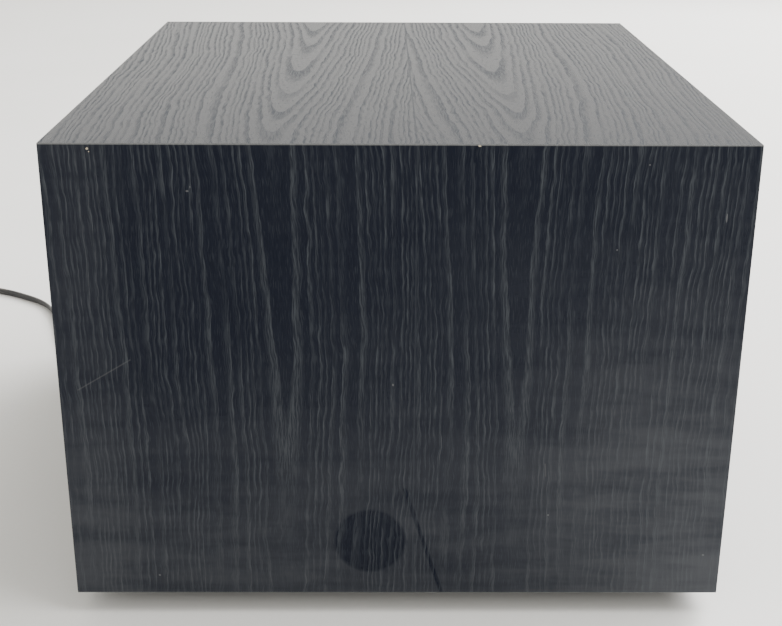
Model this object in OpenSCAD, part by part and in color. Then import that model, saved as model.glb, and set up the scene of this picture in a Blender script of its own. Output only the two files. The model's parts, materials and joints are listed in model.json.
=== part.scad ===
// Powered subwoofer: a wrapped wooden box with a front woofer and port, a pull-off grille,
// and an amplifier on a metal plate at the back.
// Frame: the front faces -Y, the width runs along X and +Z is up. The floor is at Z = 0.
// The origin is under the middle of the object, between the cabinet's front and the heat sink's tips.

/* [Cabinet] */
// Width of the cabinet
cab_w = 445; // [400:1:560]
// Depth of the cabinet, front edge to rear edge
cab_d = 381; // [340:1:480]
// Height of the cabinet without its feet
cab_h = 273; // [255:1:360]
// Thickness of the four wrapped boards
board_t = 16; // [12:1:22]
// Thickness of the vinyl sheet
vinyl_t = 0.4; // [0.2:0.1:0.6]
// Outer radius of the folds in the vinyl
fold_r = 0.8; // [0.7:0.1:2]
// Thickness of the front baffle
baffle_t = 18; // [15:1:25]
// Thickness of the rear board
rear_t = 16; // [12:1:22]
// Depth of the baffle's face behind the cabinet's front edge
baffle_recess = 20; // [19:1:30]
// Depth of the rear board's face inside the cabinet's rear edge
rear_recess = 12; // [6:1:16]

/* [Feet] */
// Height of a foot
foot_h = 14; // [10:1:25]
// Radius of a foot where it meets the cabinet
foot_r = 17; // [12:1:22]
// Distance of a foot's centre from the cabinet's sides
foot_inset = 50; // [35:1:70]
// Length of a foot's screw below its head
foot_screw_len = 18; // [14:1:20]

/* [Grille] */
// Gap between the grille and the cabinet all round
grille_gap = 1.2; // [0.6:0.1:2]
// Thickness of the grille cloth
cloth_t = 0.8; // [0.4:0.1:1]
// Depth of the cloth's face behind the cabinet's front edge
cloth_recess = 1.5; // [0.5:0.1:3]
// Thickness of the grille frame
frame_t = 15; // [10:1:15]
// Width of the grille frame's bars
frame_bar = 16; // [14:1:20]
// Width of the cloth that is glued to the frame's back
cloth_lip = 5; // [3:1:6]
// Radius of a grille peg
peg_r = 3.45; // [3:0.05:4]
// Running clearance between a peg and its socket
peg_clear = 0.05; // [0.02:0.01:0.1]
// Reach of a peg behind the frame
peg_reach = 9; // [7:0.5:11]
// Distance of a peg's centre from the frame's outer edge
peg_inset = 9.5; // [9:0.5:10]

/* [Woofer] */
// Radius of the cone at its outer edge
cone_r = 74; // [62:0.1:89]
// Width of the rubber roll round the cone
roll_w = 16; // [14:1:18]
// Width of the gasket that covers the flange
gasket_w = 8.3; // [8.1:0.1:12]
// Solid wood between the woofer or the port and the cabinet's side
side_margin = 25.1; // [24:0.5:40]
// Thickness of the surround's rubber
rubber_t = 1; // [0.6:0.1:1.5]
// Thickness of the basket's flange
flange_t = 2.2; // [2:0.1:3]
// Thickness of the gasket in front of the flange
gasket_t = 2.8; // [2.5:0.1:3]
// Depth of the basket behind the baffle's face, to the magnet system
basket_depth = 64; // [60:1:70]
// Thickness of the basket's wall
basket_wall = 1.8; // [1.2:0.1:2.5]
// Radius of the voice coil's former
former_r = 19.3; // [19:0.1:19.6]
// Radius of the magnet
magnet_r = 55; // [50:1:60]
// Thickness of the magnet
magnet_t = 18; // [12:1:24]
// Thickness of each pole plate
pole_t = 6; // [4:0.5:8]
// Radius of the dust cap
cap_r = 35; // [28:1:40]
// Number of screws that hold the woofer
woofer_screws_n = 8; // [4:1:12]

/* [Port] */
// Inner radius of the port tube
port_r = 35; // [30:1:42]
// Length of the port tube
port_len = 150; // [100:1:180]
// Wall of the port tube
port_wall = 2.5; // [2:0.5:4]
// Width of the port's flange round its flared mouth
port_lip = 8; // [6:1:12]
// Thickness of the port's flange
port_flange_t = 3; // [2:0.5:4]
// How far the port's mouth flares outwards
flare_out = 11; // [8:1:12]
// Depth of the flare
flare_h = 20; // [15:1:25]

/* [Amplifier] */
// Width of the amplifier's plate
plate_w = 260; // [250:1:300]
// Height of the amplifier's plate
plate_h = 196; // [190:1:212]
// Thickness of the amplifier's plate
plate_t = 2.5; // [2:0.1:3]
// Thickness of the heat sink's base
sink_base = 4; // [3:0.5:6]
// Length of the heat sink's fins
fin_len = 22; // [10:1:30]
// Number of fins on the heat sink
fins_n = 9; // [5:1:11]
// Thickness of a fin
fin_t = 2; // [1.5:0.1:3]
// Space between the plate and the preamp board
preamp_gap = 12; // [12:0.5:16]
// Space between the plate and the power board
power_gap = 34; // [30:1:40]
// Radius of a knob
knob_r = 11; // [9:0.5:14]
// Height of a knob
knob_h = 14; // [10:1:18]
// Radius of a control's shaft
shaft_r = 3; // [2.5:0.1:3.6]
// Running clearance of the shafts and pivots
run_clear = 0.06; // [0.02:0.01:0.1]
// Radius of a phono socket's shell
phono_r = 4.15; // [4.1:0.05:4.2]
// Length of a phono socket's shell
phono_len = 9; // [8:0.5:10]
// Angle of the rocker at rest, either side of level
rocker_tilt = 8; // [4:1:10]
// Travel of the phase slider
phase_travel = 4; // [3:0.5:5]

/* [Mains cord] */
// Width of the flat twin cord
cord_w = 6.2; // [5.5:0.1:6.6]
// Thickness of the flat twin cord
cord_t = 3.3; // [2.8:0.1:3.6]
// Length of the strain relief outside the plate
relief_len = 27; // [20:1:40]
// Radius at the middle of the coil's turns
coil_mid_r = 35; // [31:1:37]
// Turns side by side in the coil
coil_wide = 3; // [2:1:4]
// Layers of turns in the coil
coil_high = 2; // [1:1:3]

/* [Hidden] */
$fn = 64;
eps = 1; // how far a cutting shape runs past the face it cuts

// Colours
vinyl_colour = [0.09, 0.09, 0.11];
board_colour = [0.72, 0.60, 0.43];
black = [0.08, 0.08, 0.08];
steel = [0.62, 0.63, 0.65];
gold = [0.80, 0.62, 0.25];
red = [0.70, 0.08, 0.08];
cord_colour = [0.12, 0.12, 0.13];
green = [0.10, 0.30, 0.18];

// Cabinet places
rear_reach = plate_t + sink_base + fin_len - rear_recess;
front_y = -(cab_d + rear_reach) / 2;
back_y = front_y + cab_d;
bottom_z = foot_h;
top_z = foot_h + cab_h;
mid_z = foot_h + cab_h / 2;
wood_w = cab_w - 2 * vinyl_t;
wood_h = cab_h - 2 * vinyl_t;
wood_y = front_y + vinyl_t;
wood_d = cab_d - 2 * vinyl_t;
in_w = wood_w - 2 * board_t;
in_h = wood_h - 2 * board_t;
baffle_y = front_y + baffle_recess;
rebate_gap = 0.5; // between a flange and the step in the baffle that it sits in
rear_y = back_y - rear_recess;
plate_y = rear_y + plate_t;

// Screws
glue_gap = 0.05; // radial gap round a screw or peg in its hole
hole_gap = 0.4; // radial gap round a screw that passes freely through the basket
plate_gap = 0.3; // radial gap round a screw that passes freely through the plate
lug_gap = 0.1; // radial gap round a screw or its head where it must not shift
window_gap = 0.2; // gap on each side of a block in its opening in the plate
screw_r = 2;
screw_head_r = 3.8;
screw_head_h = 2.4;
screw_dome = 0.8; // how much narrower the head's top is than its seat
screw_tip_r = 0.2;
screw_rest = 3; // wood left beyond the end of a screw
foot_recess = 6;
foot_taper = 3;

// Port places
flare_r = (flare_out * flare_out + flare_h * flare_h) / (2 * flare_out);
port_flange_r = port_r + flare_out + port_lip;
port_gap = 1.5; // between the port tube and its hole in the baffle
port_x = in_w / 2 - side_margin - port_flange_r - rebate_gap;

// Woofer radii, from the cone outwards
lip_w = 4.5;
lip_in = cone_r + roll_w;
lip_out = lip_in + lip_w;
gasket_in = lip_out + 0.2;
woofer_r = gasket_in + gasket_w;
cutout_r = lip_in + 2;
woofer_x = -(in_w / 2 - side_margin - woofer_r - rebate_gap);

// Grille places
grille_w = in_w - 2 * (grille_gap + cloth_t);
grille_h = in_h - 2 * (grille_gap + cloth_t);
frame_y = front_y + cloth_recess + cloth_t;
frame_back = frame_y + frame_t;
peg_depth = 6; // how deep a peg sits in the frame
peg_taper = 1; // length and depth of the bevel at a peg's end
socket_wall = 2;
socket_flange_r = 7;
socket_flange_t = 1.2;
socket_bore = frame_back + peg_reach - baffle_y + 1;
socket_depth = socket_bore + 1;
mid_bar_x = (port_x - port_flange_r + woofer_x + woofer_r) / 2;
peg_x = grille_w / 2 - peg_inset;
peg_z = grille_h / 2 - peg_inset;
peg_places = [for (x = [-peg_x, mid_bar_x, peg_x]) for (z = [-peg_z, peg_z]) [x, z]];

// Woofer places: r is the radius and h the depth behind the baffle's face
flange_h = gasket_t;
rebate_h = flange_h + flange_t;
roll_r = roll_w / 2;
screw_circle = (gasket_in + woofer_r) / 2;
basket_in = lip_in - 0.5;
shelf_r = 60;
shelf_in = 50;
shelf_h = basket_depth - 14;
seat_t = 2;
seat_in = 24;
plate_hole_r = former_r + 1.5;
pole_r = former_r - 1.1;
pole_inset = 10; // how far the front pole plate's edge is inside the magnet's
magnet_gap = 6;
magnet_h = basket_depth + pole_t;
back_plate_h = magnet_h + magnet_t;
cone_edge_h = flange_h;
cone_t = 1.2;
neck_r = former_r;
neck_h = shelf_h - 4;
rim_w = 3.5; // flat rim of the cone, which the rubber is glued to
cone_slope = (neck_h - cone_edge_h) / (cone_r - rim_w - neck_r);
cap_h = neck_h - (cap_r - neck_r) * cone_slope;
cap_rise = 12;
cap_t = 0.8;
winding_t = 0.9;
cone_travel = 8;
roll_reach = roll_r - flange_h + cone_travel + 1; // room in front of the baffle for the moving roll
spider_t = 0.6;
spider_wave = 1.2;
ear_r = 74;
lug_spread = 6;
lug_len = 10;
wire_sides = 8; // flat sides round a wire or cord

// Amplifier places, from the plate's middle, with u to the right along X and w up
plate_inset = 6;
cut_margin = 12; // the plate's overlap on the rear board
sink_x = 10;
sink_w = 80;
sink_h = 150;
window_w = 48;
window_h = 110;
side_x = 98; // column of the mains parts
control_x = -84; // column of the controls
knob_w = 62;
knob_spread = 22;
phase_w = 34;
phono_w = -4;
phono_pitch = 18;
terminal_w = -56;
rocker_w = 70;
lamp_w = 45;
relief_w = -74;
core_x = 82;
core_w = -5;
core_size = [66, 32, 55];
core_gap = 16;
board_thick = 1.6;
stud_r = 3.2;
board_screw_r = 1.25;
board_screw_len = 8;
board_head_h = 1.8;
stud_x = [sink_x - 38, sink_x + 30];
stud_w = 62;
lever_pitch = 13;
lever_w = 8.4;
lever_h = 12;
lever_t = 2.5;
pivot_r = 1.3;
hub_r = 2;
pivot_reach = 1.1; // how far a lever's pivot pins stand out on each side
pivot_end_gap = 0.5; // between a pin's end and the end of its hole
lever_y = plate_y + 1.5;
lever_z = mid_z + terminal_w + 0.5;

// A solid drawn upright is laid along +Y from a point (x, y, z)
module along_y(x, y, z) {
    translate([x, y, z]) rotate([-90, 0, 0]) children();
}

// An outline drawn in X and Z, made `length` thick from y towards +Y
module slab_y(y, length) {
    translate([0, y + length, 0]) rotate([90, 0, 0]) linear_extrude(height = length) children();
}

// A box with its middle at x and z, from y towards +Y
module box_y(x, y, z, size) {
    translate([x - size[0] / 2, y, z - size[2] / 2]) cube(size);
}

// The plate's own frame: x and z from its middle, y from its outer face
module on_plate(x, z) {
    translate([x, plate_y, mid_z + z]) children();
}

module woofer_place() {
    along_y(woofer_x, baffle_y, mid_z) children();
}

module port_place() {
    along_y(port_x, baffle_y, mid_z) children();
}

// ---- Cabinet ----

module fold_rod(x, z) {
    along_y(x, front_y, z) cylinder(r = fold_r, h = cab_d);
}

module vinyl_wrap() {
    fold_x = cab_w / 2 - fold_r;
    color(vinyl_colour) difference() {
        union() {
            box_y(0, front_y, mid_z, [cab_w - 2 * fold_r, cab_d, cab_h]);
            box_y(0, front_y, mid_z, [cab_w, cab_d, cab_h - 2 * fold_r]);
            for (x = [-fold_x, fold_x]) {
                for (z = [bottom_z + fold_r, top_z - fold_r]) fold_rod(x, z);
            }
        }
        box_y(0, wood_y, mid_z, [wood_w, wood_d, wood_h]);
        box_y(0, front_y - eps, mid_z, [in_w, cab_d + 2 * eps, in_h]);
        at_feet() translate([0, 0, bottom_z - eps])
            cylinder(r = screw_r + glue_gap, h = vinyl_t + 2 * eps);
    }
}

// A board with mitred ends, `width` long outside and lying in X with its outer face at z = 0
module mitred_board(width) {
    color(board_colour) slab_y(wood_y, wood_d)
        polygon([
            [-width / 2, 0],
            [width / 2, 0],
            [width / 2 - board_t, -board_t],
            [-width / 2 + board_t, -board_t]
        ]);
}

module top_board() {
    translate([0, 0, top_z - vinyl_t]) mitred_board(wood_w);
}

module bottom_board() {
    difference() {
        translate([0, 0, bottom_z + vinyl_t]) mirror([0, 0, 1]) mitred_board(wood_w);
        at_feet() translate([0, 0, bottom_z - eps])
            cylinder(r = screw_r + glue_gap, h = foot_screw_len - foot_h + foot_recess + 1 + eps);
    }
}

module left_board() {
    translate([-wood_w / 2, 0, mid_z]) rotate([0, -90, 0]) mitred_board(wood_h);
}

module right_board() {
    translate([wood_w / 2, 0, mid_z]) rotate([0, 90, 0]) mitred_board(wood_h);
}

module woofer_screw_places() {
    for (i = [0:woofer_screws_n - 1]) {
        rotate(180 / woofer_screws_n + i * 360 / woofer_screws_n)
            translate([screw_circle, 0, 0]) children();
    }
}

module front_baffle() {
    color(black) difference() {
        box_y(0, baffle_y, mid_z, [in_w, baffle_t, in_h]);
        woofer_place() {
            translate([0, 0, -eps]) cylinder(r = woofer_r + rebate_gap, h = rebate_h + eps);
            translate([0, 0, -eps]) cylinder(r = cutout_r, h = baffle_t + 2 * eps);
            woofer_screw_places() cylinder(r = screw_r + glue_gap, h = baffle_t - 1);
        }
        port_place() {
            translate([0, 0, -eps]) cylinder(r = port_flange_r + rebate_gap, h = port_flange_t + eps);
            translate([0, 0, -eps]) cylinder(r = port_seat_r(), h = baffle_t + 2 * eps);
        }
        for (p = peg_places) {
            along_y(p[0], baffle_y - eps, mid_z + p[1])
                cylinder(r = peg_r + peg_clear + socket_wall, h = socket_depth + eps);
        }
    }
}

function amp_screw_places() = [
    for (x = [-1, -1 / 3, 1 / 3, 1]) for (z = [-1, 1])
        [x * (plate_w / 2 - plate_inset), z * (plate_h / 2 - plate_inset)],
    for (x = [-1, 1]) [x * (plate_w / 2 - plate_inset), 0]
];

module rear_board() {
    color(board_colour) difference() {
        box_y(0, rear_y - rear_t, mid_z, [in_w, rear_t, in_h]);
        box_y(0, rear_y - rear_t - eps, mid_z,
            [plate_w - 2 * cut_margin, rear_t + 2 * eps, plate_h - 2 * cut_margin]);
        for (p = amp_screw_places()) {
            along_y(p[0], rear_y - rear_t + 2, mid_z + p[1])
                cylinder(r = screw_r + glue_gap, h = rear_t);
        }
    }
}

// ---- Feet ----

function foot_places_x() = [-cab_w / 2 + foot_inset, cab_w / 2 - foot_inset];
function foot_places_y() = [front_y + foot_inset, back_y - foot_inset];

module at_feet() {
    for (x = foot_places_x()) for (y = foot_places_y()) translate([x, y, 0]) children();
}

module feet() {
    color(black) at_feet() difference() {
        cylinder(r1 = foot_r - foot_taper, r2 = foot_r, h = foot_h);
        translate([0, 0, -eps]) cylinder(r = screw_head_r + 2, h = foot_recess + eps);
        translate([0, 0, -eps]) cylinder(r = screw_r + glue_gap, h = foot_h + 2 * eps);
    }
}

// A round-headed screw that points up from its head's seat at z = 0
module wood_screw(length) {
    translate([0, 0, -screw_head_h])
        cylinder(r1 = screw_head_r - screw_dome, r2 = screw_head_r, h = screw_head_h);
    cylinder(r = screw_r, h = length - screw_r);
    translate([0, 0, length - screw_r]) cylinder(r1 = screw_r, r2 = screw_tip_r, h = screw_r);
}

module foot_screws() {
    color(steel) at_feet() translate([0, 0, foot_recess]) wood_screw(foot_screw_len);
}

// ---- Grille ----

module grille_frame() {
    color(black) difference() {
        box_y(0, frame_y, mid_z, [grille_w, frame_t, grille_h]);
        difference() {
            box_y(0, frame_y - eps, mid_z,
                [grille_w - 2 * frame_bar, frame_t + 2 * eps, grille_h - 2 * frame_bar]);
            box_y(mid_bar_x, frame_y - 2 * eps, mid_z, [frame_bar, frame_t + 4 * eps, grille_h]);
        }
        for (p = peg_places) {
            along_y(p[0], frame_back - peg_depth, mid_z + p[1])
                cylinder(r = peg_r + glue_gap, h = peg_depth + eps);
        }
        woofer_place() translate([0, 0, -roll_reach]) cylinder(r = lip_in + 1, h = roll_reach);
    }
}

module grille_cloth() {
    lips = 2 * cloth_lip;
    color([0.12, 0.12, 0.13]) difference() {
        box_y(0, frame_y - cloth_t, mid_z,
            [grille_w + 2 * cloth_t, frame_t + 2 * cloth_t, grille_h + 2 * cloth_t]);
        box_y(0, frame_y, mid_z, [grille_w, frame_t, grille_h]);
        box_y(0, frame_y, mid_z, [grille_w - lips, frame_t + cloth_t + eps, grille_h - lips]);
    }
}

module grille_pegs() {
    peg_len = peg_depth + peg_reach;
    color(black) for (p = peg_places) {
        along_y(p[0], frame_back - peg_depth, mid_z + p[1]) {
            cylinder(r = peg_r, h = peg_len - peg_taper);
            translate([0, 0, peg_len - peg_taper])
                cylinder(r1 = peg_r, r2 = peg_r - peg_taper, h = peg_taper);
        }
    }
}

module grille_sockets() {
    bore_r = peg_r + peg_clear;
    color(black) for (p = peg_places) {
        along_y(p[0], baffle_y, mid_z + p[1]) difference() {
            union() {
                cylinder(r = bore_r + socket_wall - glue_gap, h = socket_depth);
                translate([0, 0, -socket_flange_t]) cylinder(r = socket_flange_r, h = socket_flange_t);
            }
            translate([0, 0, -socket_flange_t - eps])
                cylinder(r = bore_r, h = socket_bore + socket_flange_t + eps);
        }
    }
}

// ---- Woofer ----

module basket_window() {
    half_angle = 21;
    reach = woofer_r + eps;
    window_from = rebate_h + 9;
    window_to = shelf_h - 6;
    translate([0, 0, window_from]) linear_extrude(height = window_to - window_from)
        polygon([
            [shelf_in, -shelf_in * tan(half_angle)],
            [reach, -reach * tan(half_angle)],
            [reach, reach * tan(half_angle)],
            [shelf_in, shelf_in * tan(half_angle)]
        ]);
}

module woofer_basket() {
    bowl_r = cutout_r - 0.3;
    ear_w = 20;
    color(black) woofer_place() difference() {
        union() {
            rotate_extrude() polygon([
                [basket_in, flange_h],
                [woofer_r, flange_h],
                [woofer_r, rebate_h],
                [bowl_r, rebate_h],
                [shelf_r, shelf_h],
                [shelf_r, shelf_h + seat_t],
                [shelf_in + basket_wall, shelf_h + seat_t],
                [shelf_in + basket_wall, basket_depth],
                [seat_in, basket_depth],
                [seat_in, basket_depth - seat_t],
                [shelf_in, basket_depth - seat_t],
                [shelf_in, shelf_h],
                [shelf_r - basket_wall, shelf_h],
                [basket_in, rebate_h]
            ]);
            translate([-ear_w / 2, -ear_r, shelf_h]) cube([ear_w, ear_r - shelf_in - 1, seat_t]);
        }
        for (i = [0:5]) rotate(60 * i + 90) basket_window();
        woofer_screw_places() translate([0, 0, -eps])
            cylinder(r = screw_r + hole_gap, h = rebate_h + 2 * eps);
    }
}

module woofer_gasket() {
    color([0.14, 0.14, 0.14]) woofer_place() difference() {
        cylinder(r = woofer_r, h = gasket_t);
        translate([0, 0, -eps]) cylinder(r = gasket_in, h = gasket_t + 2 * eps);
        woofer_screw_places() translate([0, 0, -eps])
            cylinder(r = screw_head_r + lug_gap, h = gasket_t + 2 * eps);
    }
}

module woofer_surround() {
    roll_mid = cone_r + roll_r;
    lip_h = flange_h - rubber_t;
    color([0.1, 0.1, 0.1]) woofer_place() rotate_extrude() {
        difference() {
            translate([roll_mid, lip_h + rubber_t]) circle(r = roll_r);
            translate([roll_mid, lip_h + rubber_t]) circle(r = roll_r - rubber_t);
            translate([0, lip_h + rubber_t]) square([2 * cone_r, 2 * roll_w]);
        }
        translate([lip_in - rubber_t, lip_h]) square([lip_out - lip_in + rubber_t, rubber_t]);
        translate([cone_r - rim_w, lip_h]) square([rim_w + rubber_t, rubber_t]);
    }
}

cone_slant = norm([1, cone_slope]); // depth of the cone's wall along the axis, per mm of thickness
// Depth of the cone's back at radius r
function cone_back(r) = neck_h - (r - neck_r) * cone_slope + cone_t * cone_slant;

module woofer_cone() {
    rim_r = cone_r - rim_w;
    color([0.16, 0.16, 0.17]) woofer_place() rotate_extrude() polygon([
        [neck_r + glue_gap, neck_h - glue_gap * cone_slope],
        [rim_r, cone_edge_h],
        [cone_r, cone_edge_h],
        [cone_r, cone_edge_h + cone_t],
        [rim_r, cone_edge_h + cone_t * cone_slant],
        [neck_r + glue_gap, neck_h + cone_t * cone_slant]
    ]);
}

// Radius of the sphere that a shallow dome is cut from
function dome_radius(base_r, rise) = (base_r * base_r + rise * rise) / (2 * rise);

module dust_cap() {
    ball = dome_radius(cap_r, cap_rise);
    color([0.1, 0.1, 0.11]) woofer_place() intersection() {
        translate([0, 0, cap_h - cap_rise + ball]) difference() {
            sphere(r = ball);
            sphere(r = ball - cap_t);
        }
        translate([0, 0, cap_h - cap_rise - eps]) cylinder(r = cap_r, h = cap_rise + eps);
    }
}

// Height of the spider's waves at a fraction f of the way out
function spider_height(f) = spider_wave * sin(360 * 5 * f);

module spider() {
    steps = 40;
    flat = 7;
    in_r = former_r + 0.05;
    out_r = shelf_in;
    radii = [for (i = [0:steps]) in_r + (out_r - in_r) * i / steps];
    waves = [for (i = [0:steps]) shelf_h - spider_t + spider_height(i / steps)];
    color([0.75, 0.60, 0.25]) woofer_place() rotate_extrude() polygon(concat(
        [for (i = [0:steps]) [radii[i], waves[i]]],
        [[out_r + flat, waves[steps]], [out_r + flat, waves[steps] + spider_t]],
        [for (i = [steps:-1:0]) [radii[i], waves[i] + spider_t]]
    ));
}

module voice_coil() {
    former_len = 30;
    former_t = 0.5;
    former_start = neck_h - 2;
    wound = 14;
    bite = 0.1; // how far the wire runs into the former, so that they are one solid
    color(gold) woofer_place() rotate_extrude() {
        translate([former_r - former_t, former_start]) square([former_t, former_len]);
        translate([former_r - bite, former_start + former_len - wound])
            square([winding_t + bite, wound]);
    }
}

module front_pole_plate() {
    color(steel) woofer_place() translate([0, 0, basket_depth]) difference() {
        cylinder(r = magnet_r - pole_inset, h = pole_t);
        translate([0, 0, -eps]) cylinder(r = plate_hole_r, h = pole_t + 2 * eps);
    }
}

module magnet() {
    color([0.25, 0.25, 0.26]) woofer_place() translate([0, 0, magnet_h]) difference() {
        cylinder(r = magnet_r, h = magnet_t);
        translate([0, 0, -eps]) cylinder(r = plate_hole_r + magnet_gap, h = magnet_t + 2 * eps);
    }
}

module back_pole_plate() {
    vent_r = 6;
    pole_from = basket_depth - 1;
    pole_len = back_plate_h - pole_from;
    color(steel) woofer_place() difference() {
        union() {
            translate([0, 0, back_plate_h]) cylinder(r = magnet_r - pole_inset / 2, h = pole_t);
            translate([0, 0, pole_from]) cylinder(r = pole_r, h = pole_len + 1);
        }
        translate([0, 0, pole_from - eps]) cylinder(r = vent_r, h = pole_len + pole_t + 2 * eps);
    }
}

module woofer_terminals() {
    board = [24, 14, board_thick];
    lug = [6.3, 0.8, lug_len];
    board_h = shelf_h + seat_t;
    color(gold) woofer_place() {
        translate([-board[0] / 2, -ear_r - 4, board_h]) cube(board);
        for (x = [-lug_spread, lug_spread]) {
            translate([x - lug[0] / 2, -ear_r + 1, board_h + board_thick]) cube(lug);
        }
    }
}

// The woofer's leads, from the back of the cone to the terminal board, as points of (x, radius, depth)
lead_t = 1.6;
lead_start_r = 31;
lead_start_h = cone_back(lead_start_r);
lead_route = [
    [4, lead_start_r, lead_start_h + 1.3],
    [4.5, lead_start_r + 3, lead_start_h + 3.6],
    [5, 43, neck_h - 2.5],
    [5.5, 50, neck_h - 6],
    [lug_spread, 58, neck_h - 8],
    [lug_spread, 66, neck_h - 8],
    [lug_spread, ear_r - 1, neck_h - 5],
    [lug_spread, ear_r + 2, neck_h],
    [lug_spread, ear_r + 2.4, shelf_h + seat_t]
];

module tinsel_leads() {
    color(gold) woofer_place() for (side = [-1, 1]) {
        sweep([for (p = lead_route) [side * p[0], -p[1], p[2]]], lead_t, lead_t, wire_sides, 0, 0);
    }
}

module woofer_screws() {
    color(steel) woofer_place() woofer_screw_places()
        translate([0, 0, flange_h]) wood_screw(baffle_t - flange_h - screw_rest);
}

// ---- Port ----

// Inner radius of the port at depth h
function port_bore(h) = h >= flare_h ? port_r
    : port_r + flare_r - sqrt(flare_r * flare_r - (flare_h - h) * (flare_h - h));
function port_seat_r() = port_bore(port_flange_t) + port_wall + port_gap;

module port_tube() {
    steps = 8;
    flare = [for (i = [0:steps]) flare_h * i / steps];
    behind = [for (h = flare) if (h >= port_flange_t) h];
    color(black) port_place() rotate_extrude() polygon(concat(
        [for (h = flare) [port_bore(h), h]],
        [[port_r, port_len], [port_r + port_wall, port_len]],
        [for (i = [len(behind) - 1:-1:0]) [port_bore(behind[i]) + port_wall, behind[i]]],
        [
            [port_bore(port_flange_t) + port_wall, port_flange_t],
            [port_flange_r, port_flange_t],
            [port_flange_r, 0]
        ]
    ));
}

// ---- Inside the box ----

wadding_t = 18;
wadding_ends = 10;
wadding_below_top = 30;

module wadding() {
    from_y = baffle_y + baffle_t + wadding_ends;
    to_y = rear_y - rear_t - wadding_ends;
    floor_z = bottom_z + vinyl_t + board_t;
    side_h = in_h - wadding_below_top;
    color([0.85, 0.85, 0.82]) difference() {
        translate([-in_w / 2, from_y, floor_z]) cube([in_w, to_y - from_y, side_h]);
        translate([-in_w / 2 + wadding_t, from_y - eps, floor_z + wadding_t])
            cube([in_w - 2 * wadding_t, to_y - from_y + 2 * eps, in_h]);
    }
}

// Wires from the power board to the woofer's lugs, as points in the object's own frame
module woofer_wires() {
    wire_t = 2.4;
    wire_pitch = 8;
    lug_z = mid_z + ear_r - 1.4;
    lug_end = baffle_y + shelf_h + seat_t + board_thick + lug_len;
    board_y = rear_y - power_gap - board_thick;
    for (i = [0, 1]) {
        lug_x = woofer_x + (i == 0 ? -lug_spread : lug_spread);
        start_x = sink_x - 26 + wire_pitch * i;
        color(i == 0 ? red : black) sweep([
            [lug_x, lug_end - 1, lug_z + 1.6],
            [lug_x, lug_end + 12, lug_z + 2],
            [lug_x + 2, lug_end + 35, lug_z + 6],
            [lug_x + 12, lug_end + 62, lug_z + 8],
            [lug_x + 26, lug_end + 90, lug_z + 2],
            [start_x - 6, board_y - 45, lug_z - 6],
            [start_x, board_y - 20, lug_z - 18],
            [start_x, board_y - 8, lug_z - 22],
            [start_x, board_y, lug_z - 22]
        ], wire_t, wire_t, wire_sides, 0, 0);
    }
}

// ---- Amplifier ----

module plate_hole(x, z, r) {
    along_y(x, rear_y - eps, mid_z + z) cylinder(r = r, h = plate_t + 2 * eps);
}

module plate_window(x, z, w, h) {
    box_y(x, rear_y - eps, mid_z + z, [w, plate_t + 2 * eps, h]);
}

// An opening for a block of the given width and height
module block_window(x, z, block) {
    plate_window(x, z, block[0] + 2 * window_gap, block[1] + 2 * window_gap);
}

bush_r = shaft_r + run_clear + 0.44;
nut_r = bush_r + 2.5;
terminal_body = [54, 30];
phono_body = 36;
phono_flange = 1.5;
phono_stem = 8;
phono_stem_r = 3.5;
rocker_body = [13, 19];
slider_stem = 4;
slider_gap = 0.3; // gap on each side of the slider's stem and base
lens_r = 2.5;
relief_neck = 6;

module amp_plate() {
    color(black) difference() {
        box_y(0, rear_y, mid_z, [plate_w, plate_t, plate_h]);
        for (p = amp_screw_places()) plate_hole(p[0], p[1], screw_r + plate_gap);
        for (p = sink_screw_places()) plate_hole(p[0], p[1], screw_r + lug_gap);
        for (z = core_lug_places()) plate_hole(core_x, z, screw_r + lug_gap);
        plate_window(sink_x, 0, window_w, window_h);
        for (x = [-knob_spread, knob_spread]) plate_hole(control_x + x, knob_w, bush_r + lug_gap);
        plate_window(control_x, phase_w,
            slider_stem + phase_travel + 2 * slider_gap, slider_stem + 2 * slider_gap);
        block_window(control_x, phono_w, [phono_body, phono_body]);
        block_window(control_x, terminal_w, terminal_body);
        block_window(side_x, rocker_w, rocker_body);
        plate_hole(side_x, lamp_w, lens_r + lug_gap);
        plate_hole(side_x, relief_w, relief_neck + window_gap);
    }
}

// The four places where the power board stands, from a depth y towards +Y
module at_studs(y) {
    for (x = stud_x) for (z = [-stud_w, stud_w]) along_y(x, y, mid_z + z) children();
}

// Six-sided posts between the plate and the power board, tapped for the board's screws
module board_studs() {
    color(steel) at_studs(rear_y - power_gap) difference() {
        cylinder(r = stud_r, h = power_gap, $fn = 6);
        translate([0, 0, -eps]) cylinder(r = board_screw_r + glue_gap, h = board_screw_len + eps);
    }
}

module amp_screws() {
    color(steel) for (p = amp_screw_places()) {
        on_plate(p[0], p[1]) rotate([90, 0, 0]) wood_screw(plate_t + rear_t - screw_rest - 1);
    }
}

sink_screw_inset = [8, 5];
function sink_screw_places() = [
    for (u = [-1, 1]) for (w = [-1, 1])
        [sink_x + u * (sink_w / 2 - sink_screw_inset[0]), w * (sink_h / 2 - sink_screw_inset[1])]
];
function core_lug_places() = [for (side = [-1, 1]) core_w + side * (core_size[2] / 2 + 6)];

// Screws inside: heat sink to plate, power board to its studs, transformer to plate
module inner_screws() {
    color(steel) {
        for (p = sink_screw_places()) {
            along_y(p[0], rear_y, mid_z + p[1]) wood_screw(plate_t + sink_base - 0.5);
        }
        for (z = core_lug_places()) {
            along_y(core_x, rear_y - strap_t, mid_z + z) wood_screw(plate_t + strap_t);
        }
        at_studs(rear_y - power_gap - board_thick) {
            translate([0, 0, -board_head_h]) cylinder(r = 2 * board_screw_r, h = board_head_h);
            cylinder(r = board_screw_r, h = board_screw_len);
        }
    }
}

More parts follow.
